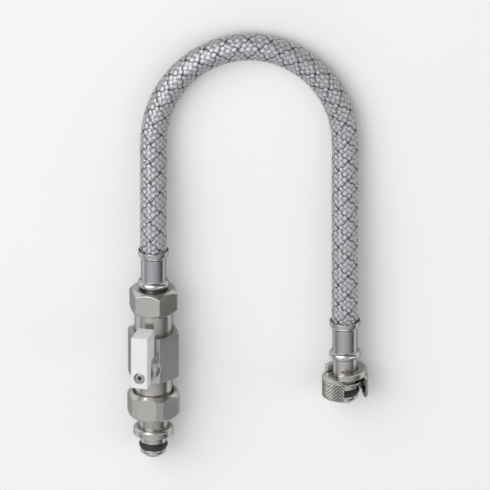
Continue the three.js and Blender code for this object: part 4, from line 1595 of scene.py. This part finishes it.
@dataclass
class FreeEnd:
    """The free end's tail with its plug, under the knurled nut and the slotted collar."""

    tip: float = 31.7
    bore: float = 3.0
    tail_radius: float = 6.7
    flange_radius: float = 9.35
    flange_level: float = 43.25
    flange_length: float = 1.3
    seat_radius: float = 7.0
    stem_radius: float = 4.5
    stem_bore: float = 3.5
    bore_step: float = 1.0
    stem_length: float = 14.2
    ferrule_level: float = 58.25
    ferrule_cover: float = 2.8

    def dress(self, bench: Bench, leg: Axis) -> None:
        """Builds the tail, its seal, the nut, the collar and the ferrule.

        Args:
            bench: where the pieces are finished.
            leg: the axis of this end of the hose.
        """
        plug = Plug(tip=self.tip)
        flange, flange_top = self.flange_level, self.flange_level + self.flange_length
        shoulder = self.ferrule_level + self.ferrule_cover
        end = shoulder + self.stem_length
        outline = plug.begin().through(
            (self.seat_radius, flange, 0.25), (self.flange_radius, flange, 0.3),
            (self.flange_radius, flange_top, 0.3), (self.tail_radius, flange_top, 0.3),
            (self.tail_radius, shoulder, 0.2), (self.stem_radius, shoulder), (self.stem_radius, end, 0.3),
            (self.stem_bore, end), (self.stem_bore, flange + self.bore_step), (self.bore, flange),
        )
        bench.settle_turning(
            outline, "free_end_turning", leg, "free_end_tail", "free", steps=FINE_TURN_STEPS
        )
        plug.seal(bench, leg, "free_end_seal", "free_end_seal_ring", "free")
        KnurledNut().dress(bench, leg)
        SlottedCollar().dress(bench, leg)
        Ferrule(self.ferrule_level).dress(bench, leg, "free_end_ferrule", "free")


@dataclass
class Studio:
    """Floor, light and camera."""

    look_down: float = 66.0
    width: float = 0.2695
    target: Place = (-0.001485, 0.06401, 0.014)
    camera_distance: float = 0.8
    floor_half: float = 4.0
    floor_roughness: float = 0.9
    side_shade: float = 0.4
    level_grey: Place = (0.1, 0.102, 0.108)
    overhead_grey: Place = (0.72, 0.73, 0.75)
    lamp_target: Place = (0.0, 0.06, 0.0)
    # Each lamp's name, its middle and its two sides in metres, and its power in watts
    lamps: tuple[tuple[str, Place, Span, float], ...] = (
        ("key", (-0.87, 0.77, 1.23), (1.74, 1.45), 16.8),
        ("fill", (1.1, 0.0, 0.78), (0.65, 1.3), 3.4),
        ("low_edge", (-0.1, -0.9, 0.4), (1.0, 0.35), 1.3),
    )

    def show(self, name: str, data: bpy.types.ID) -> bpy.types.Object:
        """Puts a mesh, a lamp or a camera into the scene.

        Args:
            name: its name.
            data: what it shows.

        Returns:
            The new object.
        """
        shown = bpy.data.objects.new(name, data)
        bpy.context.scene.collection.objects.link(shown)
        return shown

    def floor(self) -> None:
        """Lays a plain pale floor."""
        bm = bmesh.new()
        bmesh.ops.create_grid(bm, x_segments=1, y_segments=1, size=self.floor_half)
        mesh = bpy.data.meshes.new("floor")
        bm.to_mesh(mesh)
        bm.free()
        floor = self.show("floor", mesh)
        pale = {"Base Color": FLOOR_COLOUR, "Roughness": self.floor_roughness}
        mesh.materials.append(Surface("pale_floor").finish(pale))

    def lamp(self, name: str, place: Sequence[float], size: Sequence[float], power: float) -> None:
        """Hangs a soft rectangular lamp that faces the object.

        Args:
            name: the lamp's name.
            place: its middle, in metres.
            size: its two sides, in metres.
            power: its power in watts.
        """
        data = bpy.data.lights.new(name, "AREA")
        data.shape = "RECTANGLE"
        data.size, data.size_y = size
        data.energy = power
        lamp = self.show(name, data)
        lamp.location = place
        lamp.rotation_euler = (Vector(self.lamp_target) - Vector(place)).to_track_quat("-Z", "Y").to_euler()

    def world(self) -> None:
        """Surrounds the object with a soft grey that is lighter overhead and towards the left."""
        world = bpy.data.worlds.new("studio")
        bpy.context.scene.world = world
        world.use_nodes = True
        build = ShaderBuilder(world.node_tree)
        ways = {0: build.add("ShaderNodeTexCoord").outputs["Generated"]}
        parts = build.add("ShaderNodeSeparateXYZ", ways).outputs
        aside = build.math("MULTIPLY", parts["X"], self.side_shade)
        sky = build.mix(
            opaque(self.level_grey), opaque(self.overhead_grey), build.math("SUBTRACT", parts["Z"], aside)
        )
        # Below the floor's level lies the floor's own colour, for views that look past its edge
        whole = build.mix(sky, FLOOR_COLOUR, build.math("LESS_THAN", parts["Z"], 0.0))
        build.feed(world.node_tree.nodes["Background"].inputs["Color"], whole)

    def camera(self) -> None:
        """Sets the camera at the drawing's angle, with the arch at the top of the picture."""
        tilt = math.radians(90 - self.look_down)
        back = Vector((0, math.sin(tilt), math.cos(tilt)))
        up = Vector((0, math.cos(tilt), -math.sin(tilt)))
        data = bpy.data.cameras.new("camera")
        data.type = "ORTHO"
        data.ortho_scale = self.width
        camera = self.show("camera", data)
        turned = Matrix((up.cross(back), up, back)).transposed().to_4x4()
        camera.matrix_world = Matrix.Translation(Vector(self.target) + back * self.camera_distance) @ turned
        bpy.context.scene.camera = camera

    def dress(self) -> None:
        """Sets up the whole studio."""
        bpy.context.scene.view_settings.view_transform = "Standard"
        self.camera()
        self.floor()
        self.world()
        for lamp in self.lamps:
            self.lamp(*lamp)


def finishes(centres: dict[str, Vector]) -> dict[tuple[Slot, str], bpy.types.Material]:
    """Builds every finish, the metal ones once for each end of the hose.

    Args:
        centres: a point on the axis of each end.

    Returns:
        The material of each slot and end.
    """
    metals = {
        Slot.NICKEL: Metal("satin_nickel", (0.62, 0.6, 0.565), 0.23),
        Slot.STAINLESS: Metal("drawn_stainless", (0.6, 0.605, 0.61), 0.2, rings=2200.0),
        Slot.BRASS: Metal("turned_brass", (0.75, 0.56, 0.25), 0.3),
    }
    plain = {
        Slot.RUBBER: Matt("black_rubber", (0.022, 0.022, 0.024), 0.55, shade=0.7),
        Slot.SEAT: Matt("white_seat", (0.86, 0.85, 0.82), 0.4),
        Slot.FIBRE: Matt("pressed_fibre", (0.06, 0.17, 0.15), 0.8, grain=900.0),
        Slot.LEVER: Matt("pale_coating", (0.78, 0.78, 0.77), 0.42, grain=1100.0, shade=0.95),
    }
    result: dict[tuple[Slot, str], bpy.types.Material] = {}
    shared = {slot: matt.material() for slot, matt in plain.items()}
    shared[Slot.BRAID] = BraidWire().material()
    for leg, centre in centres.items():
        for slot, metal in metals.items():
            # The stem is slanted, so that its pieces are finished evenly instead of in rings about the leg
            even = replace(metal, rings=400.0, ring_depth=0.0) if leg == "stem" else metal
            result[slot, leg] = even.material(centre)
        for slot, material in shared.items():
            result[slot, leg] = material
    return result


def dress_hidden(frame: dict, bench: Bench) -> None:
    """Gives every solid that stays its finish from the record's slots.

    Args:
        bench: the bench with the materials.
    """
    for entry in frame["record"]["subparts"]:
        mesh = frame["nodes"][entry["node"]].data
        mesh.materials.clear()
        mesh.materials.append(bench.materials[Slot(entry["material_slot"]), "valve"])


def leg_axis(node: str, tip_level: float) -> Axis:
    """The axis of one end, from the solid that is turned about it.

    Args:
        node: the solid with the plug.
        tip_level: the level of its tip, in millimetres.

    Returns:
        The axis, its level zero beside the valve end's tip.
    """
    low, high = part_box(node)
    middle = (low + high) / 2
    origin = Vector((middle.x, low.y - tip_level * MM, middle.z))
    return Axis(origin, Vector((0, 1, 0)), Vector((0, 0, 1)))


def main() -> None:
    """Builds the looks round the frame."""
    logging.basicConfig(level=logging.INFO, format="%(message)s")
    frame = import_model()
    valve_leg = leg_axis("spigot", 0.0)
    free_leg = leg_axis("free_end_tail", FreeEnd.tip)
    turned_to = math.radians(VALVE_TURN)
    outward = Vector((math.sin(turned_to), 0, math.cos(turned_to)))
    stem = Axis(valve_leg.origin + Vector((0, STEM_LEVEL * MM, 0)), outward, Vector((0, 1, 0)))
    centres = {"valve": valve_leg.origin, "free": free_leg.origin, "stem": stem.origin}
    bench = Bench(finishes(centres))
    Studio().dress()
    middle = (valve_leg.origin + free_leg.origin) / 2
    Hose(Vector((middle.x, valve_leg.origin.y, 0))).dress(bench)
    Valve().dress(bench, valve_leg, stem)
    ValveEnd().dress(bench, valve_leg)
    FreeEnd().dress(bench, free_leg)
    dress_hidden(frame, bench)


if __name__ == "__main__":
    main()
